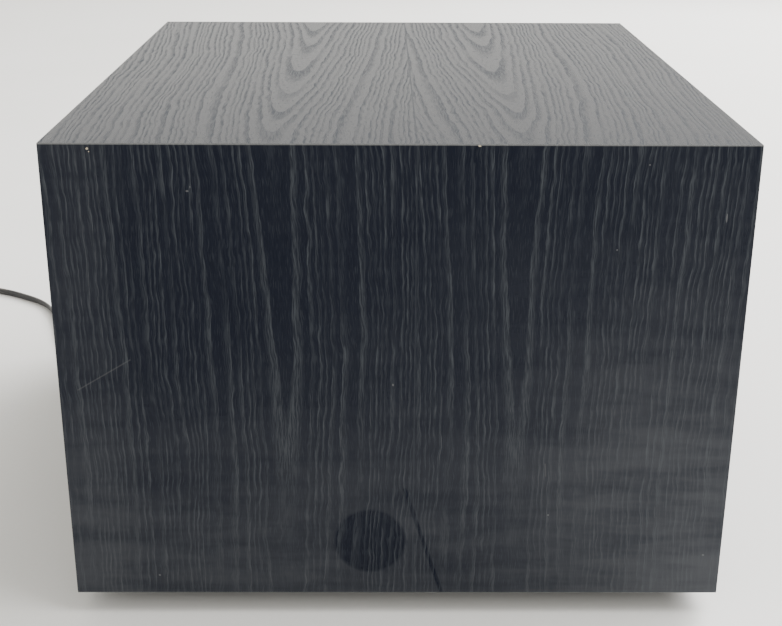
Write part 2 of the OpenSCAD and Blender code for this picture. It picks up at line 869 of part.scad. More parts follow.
module heatsink() {
    pitch = (sink_w - fin_t) / (fins_n - 1);
    color([0.07, 0.07, 0.07]) difference() {
        union() {
            box_y(sink_x, plate_y, mid_z, [sink_w, sink_base, sink_h]);
            for (i = [0:fins_n - 1]) {
                x = sink_x - sink_w / 2 + fin_t / 2 + i * pitch;
                box_y(x, plate_y, mid_z, [fin_t, sink_base + fin_len, sink_h]);
            }
        }
        for (p = sink_screw_places()) {
            along_y(p[0], plate_y - eps, mid_z + p[1])
                cylinder(r = screw_r + glue_gap, h = sink_base + eps - 0.3);
        }
    }
}

board_edge = 6; // from a stud's axis to the board's edge
power_board_w = stud_x[1] - stud_x[0] + 2 * board_edge;
power_board_h = 2 * (stud_w + board_edge);
power_board_x = (stud_x[0] + stud_x[1]) / 2;

module power_board() {
    color(green) difference() {
        box_y(power_board_x, rear_y - power_gap - board_thick, mid_z,
            [power_board_w, board_thick, power_board_h]);
        at_studs(rear_y - power_gap - board_thick - eps)
            cylinder(r = board_screw_r + plate_gap, h = board_thick + 2 * eps);
    }
}

module preamp_board() {
    board_w = 2 * (knob_spread + 11);
    board_top = knob_w + 14;
    board_low = phono_w - phono_body / 2 - 6;
    board_mid_z = mid_z + (board_top + board_low) / 2;
    color(green) box_y(control_x, rear_y - preamp_gap - board_thick, board_mid_z,
        [board_w, board_thick, board_top - board_low]);
}

core_y = rear_y - core_gap - core_size[1];
core_leg = 21.6; // width of the core's middle leg, which the winding goes round
core_opening = [11.4, 34]; // width and height of the openings beside it
strap_t = 1.5;
winding_gap = 0.2; // between the core and the winding all round

module transformer_core() {
    strap = [16, core_gap + 4, strap_t];
    lug = [strap[0], strap_t, 12];
    opening = [core_opening[0], core_size[1] + 2 * eps, core_opening[1]];
    half_h = core_size[2] / 2;
    color([0.35, 0.33, 0.32]) difference() {
        union() {
            box_y(core_x, core_y, mid_z + core_w, core_size);
            for (side = [-1, 1]) {
                strap_z = mid_z + core_w + side * (half_h - strap_t / 2);
                lug_z = mid_z + core_w + side * (half_h + 5);
                box_y(core_x, rear_y - strap[1], strap_z, strap);
                box_y(core_x, rear_y - strap_t, lug_z, lug);
            }
        }
        for (side = [-1, 1]) {
            opening_x = core_x + side * (core_leg + opening[0]) / 2;
            box_y(opening_x, core_y - eps, mid_z + core_w, opening);
        }
        for (z = core_lug_places()) {
            along_y(core_x, rear_y - strap_t - eps, mid_z + z)
                cylinder(r = screw_r + lug_gap, h = strap_t + 2 * eps);
        }
    }
}

module transformer_winding() {
    overhang = 11;
    coil_w = core_leg + 2 * (core_opening[0] - winding_gap);
    coil_h = core_opening[1] - 2 * winding_gap;
    coil_z = mid_z + core_w;
    color([0.75, 0.55, 0.2]) difference() {
        box_y(core_x, core_y - overhang, coil_z, [coil_w, core_size[1] + 2 * overhang, coil_h]);
        box_y(core_x, core_y - winding_gap, coil_z,
            [core_leg + winding_gap, core_size[1] + 2 * winding_gap, core_opening[1] + 2 * eps]);
    }
}

module filter_capacitors() {
    can_r = 12.5;
    can_len = 40;
    can_spread = 28;
    can_y = rear_y - power_gap - board_thick - can_len;
    color([0.1, 0.12, 0.3]) for (z = [-can_spread, can_spread]) {
        along_y(power_board_x, can_y, mid_z + z) cylinder(r = can_r, h = can_len);
    }
}

// Each stands on the heat sink through the plate's opening, with its legs bent back to the board
module power_transistors() {
    case = [16, 5, 21];
    case_spread = 13;
    case_z = mid_z + 4;
    leg = [1, 0.8];
    leg_pitch = 5.4;
    leg_down = 6;
    leg_face = 2.4; // from the plate's outer face to the legs' outer side
    legs_z = case_z - case[2] / 2;
    color([0.12, 0.12, 0.12]) for (x = [-case_spread, case_spread]) {
        box_y(sink_x + x, plate_y - case[1], case_z, case);
        for (i = [-1:1]) {
            leg_x = sink_x + x + i * leg_pitch;
            box_y(leg_x, plate_y - leg_face - leg[1], legs_z - leg_down / 2,
                [leg[0], leg[1], leg_down + 2 * leg[1]]);
            box_y(leg_x, rear_y - power_gap, legs_z - leg_down,
                [leg[0], power_gap + plate_t - leg_face, leg[1]]);
        }
    }
}

module rca_block() {
    flange_w = phono_body + 6;
    block_len = preamp_gap + plate_t;
    color(black) difference() {
        union() {
            on_plate(control_x, phono_w) box_y(0, 0, 0, [flange_w, phono_flange, flange_w]);
            box_y(control_x, rear_y - preamp_gap, mid_z + phono_w,
                [phono_body, block_len, phono_body]);
        }
        phono_places() translate([0, 0, -phono_stem])
            cylinder(r = phono_stem_r + glue_gap, h = phono_stem + phono_flange + eps);
    }
}

module phono_places() {
    for (u = [-1, 1]) for (w = [-1, 1]) {
        on_plate(control_x + u * phono_pitch / 2, phono_w + w * phono_pitch / 2)
            along_y(0, 0, 0) children();
    }
}

module rca_sockets() {
    pin_r = 1.6;
    pin_depth = 8;
    color(gold) phono_places() difference() {
        union() {
            translate([0, 0, -phono_stem])
                cylinder(r = phono_stem_r, h = phono_stem + phono_flange + eps);
            translate([0, 0, phono_flange]) cylinder(r = phono_r, h = phono_len);
        }
        translate([0, 0, phono_flange + phono_len - pin_depth]) cylinder(r = pin_r, h = pin_depth + eps);
    }
}

function lever_x(i) = control_x + (i - 2.5) * lever_pitch;

// A round rod along X, as long as `length`, with its middle at the point it is drawn from
module rod_x(r, length) {
    translate([-length / 2, 0, 0]) rotate([0, 90, 0]) cylinder(r = r, h = length);
}

module terminal_block() {
    slot_w = lever_w + 0.6;
    slot_depth = 7;
    slot_below = 0.3; // clearance under a lever's hub
    slot_above = 1.3; // and over its tip
    body_len = 14;
    flange_t = 3;
    wire_hole_r = 1.5;
    wire_hole_depth = 12;
    wire_hole_w = -8;
    flange = [terminal_body[0] + 8, flange_t, terminal_body[1] + 6];
    color(black) difference() {
        union() {
            on_plate(control_x, terminal_w) box_y(0, 0, 0, flange);
            box_y(control_x, rear_y - body_len, mid_z + terminal_w,
                [terminal_body[0], body_len + plate_t, terminal_body[1]]);
        }
        for (i = [1:4]) {
            translate([lever_x(i) - slot_w / 2, plate_y - slot_depth, lever_z - hub_r - slot_below])
                cube([
                    slot_w,
                    slot_depth + flange_t + eps,
                    lever_h + hub_r + slot_below + slot_above
                ]);
            translate([lever_x(i), lever_y, lever_z])
                rod_x(pivot_r + run_clear, lever_w + 2 * (pivot_reach + pivot_end_gap));
            along_y(lever_x(i), plate_y - wire_hole_depth, mid_z + terminal_w + wire_hole_w)
                cylinder(r = wire_hole_r, h = wire_hole_depth + flange_t + eps);
        }
    }
}

module terminal_lever(i) {
    tab = 3;
    tab_reach = lever_t / 2 + 2.5;
    color(i % 2 == 1 ? red : black) translate([lever_x(i), lever_y, lever_z]) {
        rod_x(hub_r, lever_w);
        rod_x(pivot_r, lever_w + 2 * pivot_reach);
        box_y(0, -lever_t / 2, lever_h / 2, [lever_w, lever_t, lever_h]);
        box_y(0, 0, lever_h - tab / 2, [lever_w, tab_reach, tab]);
    }
}

module terminal_lever_1() { terminal_lever(1); }
module terminal_lever_2() { terminal_lever(2); }
module terminal_lever_3() { terminal_lever(3); }
module terminal_lever_4() { terminal_lever(4); }

pot_case = 17;
bush_len = 6;
nut_h = 2.2;

module control_pot(x) {
    bore_from = rear_y - shaft_back - 0.2;
    bush_end = plate_y + bush_len;
    color(steel) difference() {
        union() {
            box_y(x, rear_y - preamp_gap, mid_z + knob_w, [pot_case, preamp_gap, pot_case]);
            along_y(x, rear_y - 1, mid_z + knob_w) cylinder(r = bush_r, h = bush_end - rear_y + 1);
            along_y(x, plate_y, mid_z + knob_w) cylinder(r = nut_r, h = nut_h, $fn = 6);
        }
        along_y(x, bore_from, mid_z + knob_w)
            cylinder(r = shaft_r + run_clear, h = bush_end - bore_from + eps);
    }
}

module control_pots() {
    for (side = [-1, 1]) control_pot(control_x + side * knob_spread);
}

shaft_back = 7.8; // the shaft's end behind the plate's inner face
knob_gap = 7; // gap from the plate's face to the knob's back
knob_wall = 4;

module control_shaft(x) {
    color(steel) along_y(x, rear_y - shaft_back, mid_z + knob_w)
        cylinder(r = shaft_r, h = shaft_back + plate_t + knob_gap + knob_h - knob_wall);
}

module control_knob(x) {
    flutes = 20;
    flute_r = 1.1;
    bevel = 1;
    press_gap = 0.02; // between the shaft and the knob that is pressed on it
    notch_w = 1.2;
    notch_depth = 0.8;
    color([0.1, 0.1, 0.1]) along_y(x, plate_y + knob_gap, mid_z + knob_w) difference() {
        union() {
            cylinder(r = knob_r, h = knob_h - bevel);
            translate([0, 0, knob_h - bevel])
                cylinder(r1 = knob_r, r2 = knob_r - bevel, h = bevel);
        }
        translate([0, 0, -eps]) cylinder(r = shaft_r + press_gap, h = knob_h - knob_wall + eps);
        for (i = [0:flutes - 1]) {
            rotate(i * 360 / flutes) translate([knob_r + flute_r / 2, 0, -eps])
                cylinder(r = flute_r, h = knob_h + 2 * eps);
        }
        translate([-notch_w / 2, -knob_r - eps, knob_h - notch_depth])
            cube([notch_w, knob_r, notch_depth + eps]);
    }
}

module level_shaft() { control_shaft(control_x - knob_spread); }
module level_knob() { control_knob(control_x - knob_spread); }
module crossover_shaft() { control_shaft(control_x + knob_spread); }
module crossover_knob() { control_knob(control_x + knob_spread); }

slider_base = [6, 3, 5.4];

module phase_switch() {
    can = [20, preamp_gap, 9];
    cavity = [
        slider_base[0] + phase_travel + 2 * slider_gap,
        slider_base[1] + 5,
        slider_base[2] + 2 * slider_gap
    ];
    color(steel) difference() {
        box_y(control_x, rear_y - preamp_gap, mid_z + phase_w, can);
        box_y(control_x, rear_y - cavity[1], mid_z + phase_w, [cavity[0], cavity[1] + eps, cavity[2]]);
    }
}

module phase_slider() {
    stem_out = 3;
    color(black) translate([-phase_travel / 2, 0, 0]) {
        box_y(control_x, rear_y - slider_base[1] - run_clear, mid_z + phase_w, slider_base);
        box_y(control_x, rear_y - 1, mid_z + phase_w,
            [slider_stem, 1 + plate_t + stem_out, slider_stem]);
    }
}

rocker_size = [10, 15.6];
rocker_pivot = plate_y - 1;
rocker_pin = 1.2;
rocker_pin_reach = 0.8; // how far a pin stands out on each side of the rocker
rocker_pin_hole = 0.9; // how deep its hole is in the switch's side

module power_switch() {
    bezel = [rocker_body[0] + 4, 2, rocker_body[1] + 4];
    body_len = 14;
    tab = [0.8, 9, 6];
    tab_spread = 3;
    cavity = [rocker_size[0] + 0.6, 8, rocker_size[1] + 1];
    color(black) difference() {
        union() {
            on_plate(side_x, rocker_w) box_y(0, 0, 0, bezel);
            box_y(side_x, rear_y - body_len, mid_z + rocker_w,
                [rocker_body[0], body_len + plate_t, rocker_body[1]]);
            for (x = [-tab_spread, tab_spread]) {
                box_y(side_x + x, rear_y - body_len + 1 - tab[1], mid_z + rocker_w, tab);
            }
        }
        box_y(side_x, plate_y - cavity[1], mid_z + rocker_w,
            [cavity[0], cavity[1] + bezel[1] + eps, cavity[2]]);
        translate([side_x, rocker_pivot, mid_z + rocker_w])
            rod_x(rocker_pin + run_clear, cavity[0] + 2 * rocker_pin_hole);
    }
}

module power_rocker() {
    half_w = rocker_size[0] / 2;
    half_h = rocker_size[1] / 2;
    back = -2;
    crown = 3.6;
    dip = 2.6;
    draft = 1.5; // how much shorter the back is at each end
    color(black) translate([side_x, rocker_pivot, mid_z + rocker_w]) rotate([-rocker_tilt, 0, 0]) {
        translate([-half_w, 0, 0]) rotate([90, 0, 90]) linear_extrude(height = rocker_size[0])
            polygon([
                [back, -half_h + draft],
                [crown, -half_h],
                [dip, 0],
                [crown, half_h],
                [back, half_h - draft]
            ]);
        rod_x(rocker_pin, rocker_size[0] + 2 * rocker_pin_reach);
    }
}

module power_lamp() {
    tail = 10;
    rim_r = 3.4;
    rim_h = 1;
    color([0.2, 0.8, 0.3]) on_plate(side_x, lamp_w) rotate([-90, 0, 0]) {
        translate([0, 0, -tail]) cylinder(r = lens_r, h = tail + rim_h);
        cylinder(r = rim_r, h = rim_h);
        translate([0, 0, rim_h]) intersection() {
            sphere(r = lens_r);
            cylinder(r = lens_r + eps, h = lens_r + eps);
        }
    }
}

// ---- Mains cord ----

relief_tip = [side_x, plate_y + relief_len, mid_z + relief_w];

// Ribbed taper: a wide and a narrow radius in turn along its length
module strain_relief() {
    ribs = 6;
    collar = 3;
    inside = 5; // length of the part inside the plate
    flange_r = relief_neck + 2;
    groove = 0.35; // the grooved share of each rib's length
    groove_depth = 0.8;
    taper = 0.3; // how much smaller each rib is than the last
    cord_gap = 0.05; // between the cord and the relief all round
    rib_len = (relief_len - collar) / ribs;
    color(black) along_y(side_x, plate_y, mid_z + relief_w) difference() {
        union() {
            translate([0, 0, -plate_t - inside]) cylinder(r = flange_r, h = inside);
            translate([0, 0, -plate_t - 1]) cylinder(r = relief_neck, h = plate_t + 2);
            cylinder(r = flange_r, h = collar);
            for (i = [0:ribs - 1]) {
                rib_r = relief_neck - i * taper;
                rib_h = collar + i * rib_len;
                translate([0, 0, rib_h]) cylinder(r = rib_r - groove_depth, h = rib_len);
                translate([0, 0, rib_h + groove * rib_len])
                    cylinder(r = rib_r, h = rib_len * (1 - groove));
            }
        }
        translate([0, 0, -plate_t - inside - eps])
            linear_extrude(height = relief_len + plate_t + inside)
                square([cord_w + 2 * cord_gap, cord_t + 2 * cord_gap], center = true);
    }
}

// The free cord's route from the strain relief's tip to the coil, chosen by hand
cord_route = [
    relief_tip,
    [98, 207, 76.5], [98, 215, 75], [99, 223, 70], [100, 230, 60], [102, 237, 46], [105, 243, 32],
    [109, 249, 20], [115, 254, 11], [123, 259, 5], [134, 264, 2.5], [148, 269, 2], [170, 277, 2.2],
    [195, 286, 2.4], [220, 295, 2.6], [245, 303, 2.8], [270, 312, 3], [293, 323, 3.1],
    [310, 337, 3.2], [324, 355, 3.2], [335, 372, 3.2], [343, 389, 3.2], [348, 405, 3.2],
    [350, 418, 3.2], [350, 423, 3.2]
];
twist_from = 10; // the cord turns from flat to on edge between these points of its route
twist_to = 21;
coil_lead = 24; // straight cord where it comes to the coil and where it leaves
turn_gap = 0.1; // between the turns of the coil
coil_pitch = cord_t + turn_gap;
coil_out = coil_mid_r + coil_wide * coil_pitch / 2;
coil_in = coil_mid_r - coil_wide * coil_pitch / 2;
coil_height = coil_high * (cord_w + turn_gap);
route_end = cord_route[len(cord_route) - 1];
coil_x = route_end[0] - coil_out + cord_t / 2;
coil_y = route_end[1] + coil_lead;

function unit(v) = v / norm(v);
function tangent(path, i) = unit(path[min(i + 1, len(path) - 1)] - path[max(i - 1, 0)]);
// How far the cord has turned on edge at point i, in degrees
function cord_roll(i, from, to) = to <= from ? 0 : 90 * min(1, max(0, (i - from) / (to - from)));

// One ring of a flat section, w wide and t thick, across the path at point i. Its corners lie
// outside the section, so that its flat sides touch it.
function ring(path, i, w, t, sides, from, to) =
    let (
        ahead = tangent(path, i),
        level = unit(cross([0, 0, 1], ahead)),
        over = cross(ahead, level),
        turn = cord_roll(i, from, to),
        wide = level * cos(turn) + over * sin(turn),
        thin = over * cos(turn) - level * sin(turn)
    )
    [for (k = [0:sides - 1])
        let (angle = 360 * (k + 0.5) / sides, reach = 0.5 / cos(180 / sides))
        path[i] + wide * w * reach * cos(angle) + thin * t * reach * sin(angle)];

// A tube swept along the path, its two ends closed
module sweep(path, w, t, sides, from, to) {
    rings = len(path);
    points = [for (i = [0:rings - 1]) each ring(path, i, w, t, sides, from, to)];
    sides_faces = [
        for (i = [0:rings - 2]) for (k = [0:sides - 1])
            for (half = [0, 1]) half == 0
                ? [i * sides + k, i * sides + (k + 1) % sides, (i + 1) * sides + k]
                : [i * sides + (k + 1) % sides, (i + 1) * sides + (k + 1) % sides, (i + 1) * sides + k]
    ];
    start_cap = [for (k = [sides - 1:-1:0]) k];
    end_cap = [for (k = [0:sides - 1]) (rings - 1) * sides + k];
    polyhedron(points = points, faces = concat([start_cap], sides_faces, [end_cap]));
}

module mains_cord() {
    color(cord_colour) sweep(cord_route, cord_w, cord_t, wire_sides, twist_from, twist_to);
}

module cord_coil() {
    layer_h = coil_height / coil_high;
    lead = [cord_t, coil_lead, layer_h];
    color(cord_colour) translate([coil_x, coil_y, 0]) {
        rotate_extrude() translate([coil_in, 0]) square([coil_out - coil_in, coil_height]);
        translate([coil_out - cord_t, -coil_lead, 0]) cube(lead);
        translate([coil_out - cord_t, 0, coil_height - layer_h]) cube(lead);
    }
}

// A moulded two-blade plug, lying beyond the coil where the last turn leaves it
module mains_plug() {
    body = [30, 24, 15];
    tail = 16;
    tail_r = 3;
    ribs = 4;
    rib_step = 0.8; // how much wider each rib is than the last, and the gap between ribs
    blade = [17, 1.5, 6.35];
    blade_root = 5; // length of a blade inside the body
    blade_spread = 6.35;
    mid = body[2] / 2;
    plug_place = [coil_x + coil_out - cord_t / 2, coil_y + coil_lead, mid];
    color(black) translate(plug_place) rotate([0, 0, -90]) {
        for (i = [1:ribs]) {
            translate([-tail * i / ribs, 0, 0]) rotate([0, 90, 0])
                cylinder(r = tail_r + rib_step * i, h = tail / ribs - rib_step);
        }
        translate([-tail, 0, 0]) rotate([0, 90, 0]) cylinder(r = tail_r, h = tail);
        translate([-tail - body[0], -body[1] / 2, -mid]) cube(body);
    }
    color(gold) translate(plug_place) rotate([0, 0, -90]) translate([-tail - body[0], 0, 0]) {
        for (side = [-1, 1]) {
            translate([-blade[0], side * blade_spread - blade[1] / 2, -blade[2] / 2])
                cube([blade[0] + blade_root, blade[1], blade[2]]);
        }
    }
}

vinyl_wrap();
top_board();
bottom_board();
left_board();
right_board();
front_baffle();
rear_board();
feet();
foot_screws();
grille_frame();
grille_cloth();
grille_pegs();
grille_sockets();
woofer_basket();
woofer_gasket();
woofer_surround();
woofer_cone();
dust_cap();
spider();
voice_coil();
front_pole_plate();
magnet();
back_pole_plate();
tinsel_leads();
woofer_terminals();
woofer_screws();
port_tube();
wadding();
woofer_wires();
amp_plate();
board_studs();
amp_screws();
inner_screws();
heatsink();
power_board();
preamp_board();
transformer_core();
transformer_winding();
filter_capacitors();
power_transistors();
rca_block();
rca_sockets();
terminal_block();
terminal_lever_1();
terminal_lever_2();
terminal_lever_3();
terminal_lever_4();
control_pots();
level_shaft();
level_knob();
crossover_shaft();
crossover_knob();
phase_switch();
phase_slider();
power_switch();
power_rocker();
power_lamp();
strain_relief();
mains_cord();
cord_coil();
mains_plug();
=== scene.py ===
"""Looks of a powered box subwoofer, made around its CAD frame.

Everything is in metres. The front faces -Y, the width runs along X and +Z is up.
"""

import json
import math

import bmesh
import bpy
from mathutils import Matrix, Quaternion, Vector, noise
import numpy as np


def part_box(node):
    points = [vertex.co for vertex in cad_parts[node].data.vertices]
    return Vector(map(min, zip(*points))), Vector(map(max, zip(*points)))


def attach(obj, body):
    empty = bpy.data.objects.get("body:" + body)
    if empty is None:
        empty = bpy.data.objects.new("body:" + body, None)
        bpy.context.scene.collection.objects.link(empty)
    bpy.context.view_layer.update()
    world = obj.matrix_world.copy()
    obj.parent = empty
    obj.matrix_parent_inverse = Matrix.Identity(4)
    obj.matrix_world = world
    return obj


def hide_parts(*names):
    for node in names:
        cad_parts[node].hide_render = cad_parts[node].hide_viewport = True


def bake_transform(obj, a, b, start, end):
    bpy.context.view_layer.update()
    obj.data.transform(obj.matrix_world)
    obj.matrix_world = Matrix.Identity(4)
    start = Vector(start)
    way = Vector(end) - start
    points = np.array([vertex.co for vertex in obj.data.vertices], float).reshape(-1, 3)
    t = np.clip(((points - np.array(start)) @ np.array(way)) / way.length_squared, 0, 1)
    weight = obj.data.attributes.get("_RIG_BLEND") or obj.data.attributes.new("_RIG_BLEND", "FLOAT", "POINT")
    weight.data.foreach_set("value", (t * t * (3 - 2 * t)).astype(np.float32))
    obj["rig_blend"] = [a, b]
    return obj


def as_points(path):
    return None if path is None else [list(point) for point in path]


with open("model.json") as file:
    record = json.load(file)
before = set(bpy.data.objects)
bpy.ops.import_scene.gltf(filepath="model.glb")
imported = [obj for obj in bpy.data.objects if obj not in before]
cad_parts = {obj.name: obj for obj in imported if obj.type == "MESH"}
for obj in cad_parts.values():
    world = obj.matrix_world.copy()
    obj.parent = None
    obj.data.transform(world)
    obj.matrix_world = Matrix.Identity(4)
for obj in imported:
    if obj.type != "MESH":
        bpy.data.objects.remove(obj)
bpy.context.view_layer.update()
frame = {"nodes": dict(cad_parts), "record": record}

MM = 0.001


# ---- Places, taken from the CAD ----


def middle(node):
    """The middle of a CAD node's box."""
    low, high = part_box(node)
    return (low + high) / 2


wrap_low, wrap_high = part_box("vinyl_wrap")
cabinet_width = wrap_high.x - wrap_low.x
cabinet_height = wrap_high.z - wrap_low.z
cabinet_middle_z = (wrap_high.z + wrap_low.z) / 2
woofer_x = middle("woofer_gasket").x
woofer_z = middle("woofer_gasket").z
baffle_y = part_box("front_baffle")[0].y
rear_face_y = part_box("rear_board")[1].y


# ---- Camera, floor and light ----

CAMERA_PLACE = Vector((-0.8909, 0.0016, 0.4444))
CAMERA_DOWN = math.radians(20.64)
CAMERA_TURN = math.radians(0.439)
CAMERA_ROLL = math.radians(0.274)
CAMERA_LENS_MM = 59.92


def make_camera():
    camera = bpy.data.objects.new("camera", bpy.data.cameras.new("camera"))
    level = math.cos(CAMERA_DOWN)
    ahead = Vector((
        level * math.cos(CAMERA_TURN),
        -level * math.sin(CAMERA_TURN),
        -math.sin(CAMERA_DOWN),
    ))
    roll = Quaternion((0, 0, 1), CAMERA_ROLL)
    camera.rotation_mode = "QUATERNION"
    camera.rotation_quaternion = ahead.to_track_quat("-Z", "Y") @ roll
    camera.location = CAMERA_PLACE
    camera.data.lens = CAMERA_LENS_MM
    bpy.context.scene.collection.objects.link(camera)
    bpy.context.scene.camera = camera


make_camera()


# ---- Node trees ----


class Tree:
    """Short calls that add and wire the nodes of one shader tree."""

    def __init__(self, tree):
        self.tree = tree

    def node(self, kind, inputs=(), **settings):
        made = self.tree.nodes.new(kind)
        for name, value in settings.items():
            setattr(made, name, value)
        for key, value in dict(inputs).items():
            self.feed(made.inputs[key], value)
        return made

    def feed(self, socket, value):
        if isinstance(value, bpy.types.NodeSocket):
            self.tree.links.new(value, socket)
        else:
            socket.default_value = value

    def math(self, operation, *values, clamp=False):
        inputs = dict(enumerate(values))
        return self.node("ShaderNodeMath", inputs, operation=operation, use_clamp=clamp).outputs[0]

    def add(self, first, second):
        return self.math("ADD", first, second)

    def times(self, first, second):
        return self.math("MULTIPLY", first, second)

    def less(self, first, second):
        return self.math("SUBTRACT", first, second)

    def larger(self, first, second):
        return self.math("MAXIMUM", first, second)

    def size(self, value):
        return self.math("ABSOLUTE", value)

    def above(self, value, limit):
        return self.math("GREATER_THAN", value, limit)

    def below(self, value, limit):
        return self.math("LESS_THAN", value, limit)

    def join(self, x, y, z=0.0):
        return self.node("ShaderNodeCombineXYZ", {0: x, 1: y, 2: z}).outputs[0]

    def split(self, vector):
        return self.node("ShaderNodeSeparateXYZ", {0: vector}).outputs

    def length(self, vector):
        made = self.node("ShaderNodeVectorMath", {0: vector}, operation="LENGTH")
        return made.outputs["Value"]

    def scaled(self, vector, factors):
        inputs = {0: vector, 1: factors}
        return self.node("ShaderNodeVectorMath", inputs, operation="MULTIPLY").outputs[0]

    def ease(self, value, start, end, low=0.0, high=1.0):
        """A smooth step, from low at start to high at end."""
        inputs = {"Value": value, "From Min": start, "From Max": end, "To Min": low, "To Max": high}
        return self.node("ShaderNodeMapRange", inputs, interpolation_type="SMOOTHSTEP").outputs[0]

    def mix(self, share, first, second):
        return self.node("ShaderNodeMix", {0: share, 2: first, 3: second}).outputs[0]

    def tint(self, share, first, second):
        """A mix of two colours."""
        inputs = {0: share, 6: first, 7: second}
        return self.node("ShaderNodeMix", inputs, data_type="RGBA").outputs[2]

    def cloud(self, vector, scale=1.0, detail=2.0, rough=0.5):
        inputs = {"Vector": vector, "Scale": scale, "Detail": detail, "Roughness": rough}
        return self.node("ShaderNodeTexNoise", inputs).outputs[0]

    def cells(self, vector, scale, output="Distance", feature="F1"):
        inputs = {"Vector": vector, "Scale": scale}
        return self.node("ShaderNodeTexVoronoi", inputs, feature=feature).outputs[output]

    def place(self):
        return self.node("ShaderNodeTexCoord").outputs["Object"]

    def place_parts(self):
        """The place along X, along Y and along Z."""
        parts = self.split(self.place())
        return parts[0], parts[1], parts[2]

    def facing(self):
        """How far the surface faces along X, Y and Z."""
        return self.split(self.node("ShaderNodeNewGeometry").outputs["True Normal"])

    def effect(self, group, **values):
        """A shared effect placed in this tree, with its own values."""
        made = self.node("ShaderNodeGroup")
        made.node_tree = group
        for name, value in values.items():
            self.feed(made.inputs[name.replace("_", " ")], value)
        return made.outputs


def shared_effect(name, inputs, outputs, build):
    """A shader node group. build is given its tree and inputs, and returns its outputs by name."""
    kinds = {float: "NodeSocketFloat", tuple: "NodeSocketColor"}
    group = bpy.data.node_groups.new(name, "ShaderNodeTree")
    for label, value in inputs.items():
        kind = kinds[type(value)]
        socket = group.interface.new_socket(label, in_out="INPUT", socket_type=kind)
        socket.default_value = value
    for label, kind in outputs.items():
        group.interface.new_socket(label, in_out="OUTPUT", socket_type=kinds[kind])
    tree = Tree(group)
    entry = tree.node("NodeGroupInput").outputs
    leave = tree.node("NodeGroupOutput").inputs
    for label, value in build(tree, entry).items():
        tree.feed(leave[label], value)
    return group


# ---- Effects that several materials share ----

WHITE = (1.0, 1.0, 1.0, 1.0)
BLACK = (0.0, 0.0, 0.0, 1.0)
# detail and roughness of the clouds that several effects use
SOFT_CLOUD = (4.0, 0.6)
FINE_CLOUD = (3.0, 0.7)
BROKEN_CLOUD = (3.0, 0.65)

PATCH_SHARE = 0.7
PATCH_EDGES = (0.36, 0.64)
DUST_TONE = (0.34, 0.32, 0.29, 1.0)
DUSTY_ROUGHNESS = 0.9
FACING_UP = (0.1, 0.95)
DRIFT_SCALE = 28.0
DRIFT_EDGES = (0.35, 0.75)
DRIFT_COVER = 0.6
MOTE_SCALE = 900.0
MOTE_EDGES = (0.16, 0.05)
MOTE_COVER = 0.8
SCRATCH_WAYS = ((900.0, 900.0, 26.0), (30.0, 700.0, 900.0))
SCRATCH_EDGES = (0.74, 0.8)
SCRATCHED_SCALE = 30.0
SCRATCHED_EDGES = (0.45, 0.65)
LOOP_SLANT = 0.8
LOOP_HEIGHT = 0.5
FUZZ_SCALE = 2600.0
FUZZ_HEIGHT = 0.3
HOLE_EDGES = (-0.35, -0.8)
WOBBLE_SCALE = 60.0
VARIATION_PITCH = 0.3


def build_mottle(tree, given):
    """Two close colours in soft patches, with a fine grain on top."""
    place = tree.place()
    patch = tree.cloud(place, given["Patch Scale"], *SOFT_CLOUD)
    grain = tree.cloud(place, given["Grain Scale"], *FINE_CLOUD)
    both = tree.add(tree.times(patch, PATCH_SHARE), tree.times(grain, 1 - PATCH_SHARE))
    share = tree.ease(both, *PATCH_EDGES)
    uneven = tree.times(tree.less(share, 0.5), given["Spread"])
    return {
        "Colour": tree.tint(share, given["First"], given["Second"]),
        "Roughness": tree.add(given["Roughness"], uneven),
        "Height": grain,
    }


def build_dust(tree, given):
    """Dust that settles on what faces up, thicker in soft drifts and specked."""
    place = tree.place()
    upward = tree.ease(tree.facing()[2], *FACING_UP)
    drift = tree.ease(tree.cloud(place, DRIFT_SCALE, *SOFT_CLOUD), *DRIFT_EDGES)
    motes = tree.ease(tree.cells(place, MOTE_SCALE), *MOTE_EDGES)
    cover = tree.add(tree.times(drift, DRIFT_COVER), tree.times(motes, MOTE_COVER))
    share = tree.math("MULTIPLY", tree.times(upward, cover), given["Amount"], clamp=True)
    return {"Colour": tree.tint(share, given["Colour"], DUST_TONE), "Dust": share}


def build_scratches(tree, given):
    """Thin light scratches in two directions."""
    place = tree.place()
    total = 0.0
    for stretch in SCRATCH_WAYS:
        line = tree.cloud(tree.scaled(place, stretch), 1.0, 1.0)
        total = tree.larger(total, tree.ease(line, *SCRATCH_EDGES))
    patch = tree.ease(tree.cloud(place, SCRATCHED_SCALE, 2.0), *SCRATCHED_EDGES)
    mark = tree.math("MULTIPLY", tree.times(total, patch), given["Amount"], clamp=True)
    return {"Scratch": mark}


def build_knit(tree, given):
    """Rows of small loops with a hole between each two."""
    place = tree.split(tree.place())
    across = tree.times(tree.add(place[0], place[1]), given["Rows"])
    along = tree.times(tree.add(place[2], tree.times(place[1], LOOP_SLANT)), given["Rows"])
    first = tree.math("SINE", tree.add(across, along))
    second = tree.math("SINE", tree.less(across, along))
    loops = tree.times(first, second)
    fuzz = tree.cloud(tree.place(), FUZZ_SCALE, *FINE_CLOUD)
    return {
        "Height": tree.add(tree.times(loops, LOOP_HEIGHT), tree.times(fuzz, FUZZ_HEIGHT)),
        "Hole": tree.ease(loops, *HOLE_EDGES),
    }


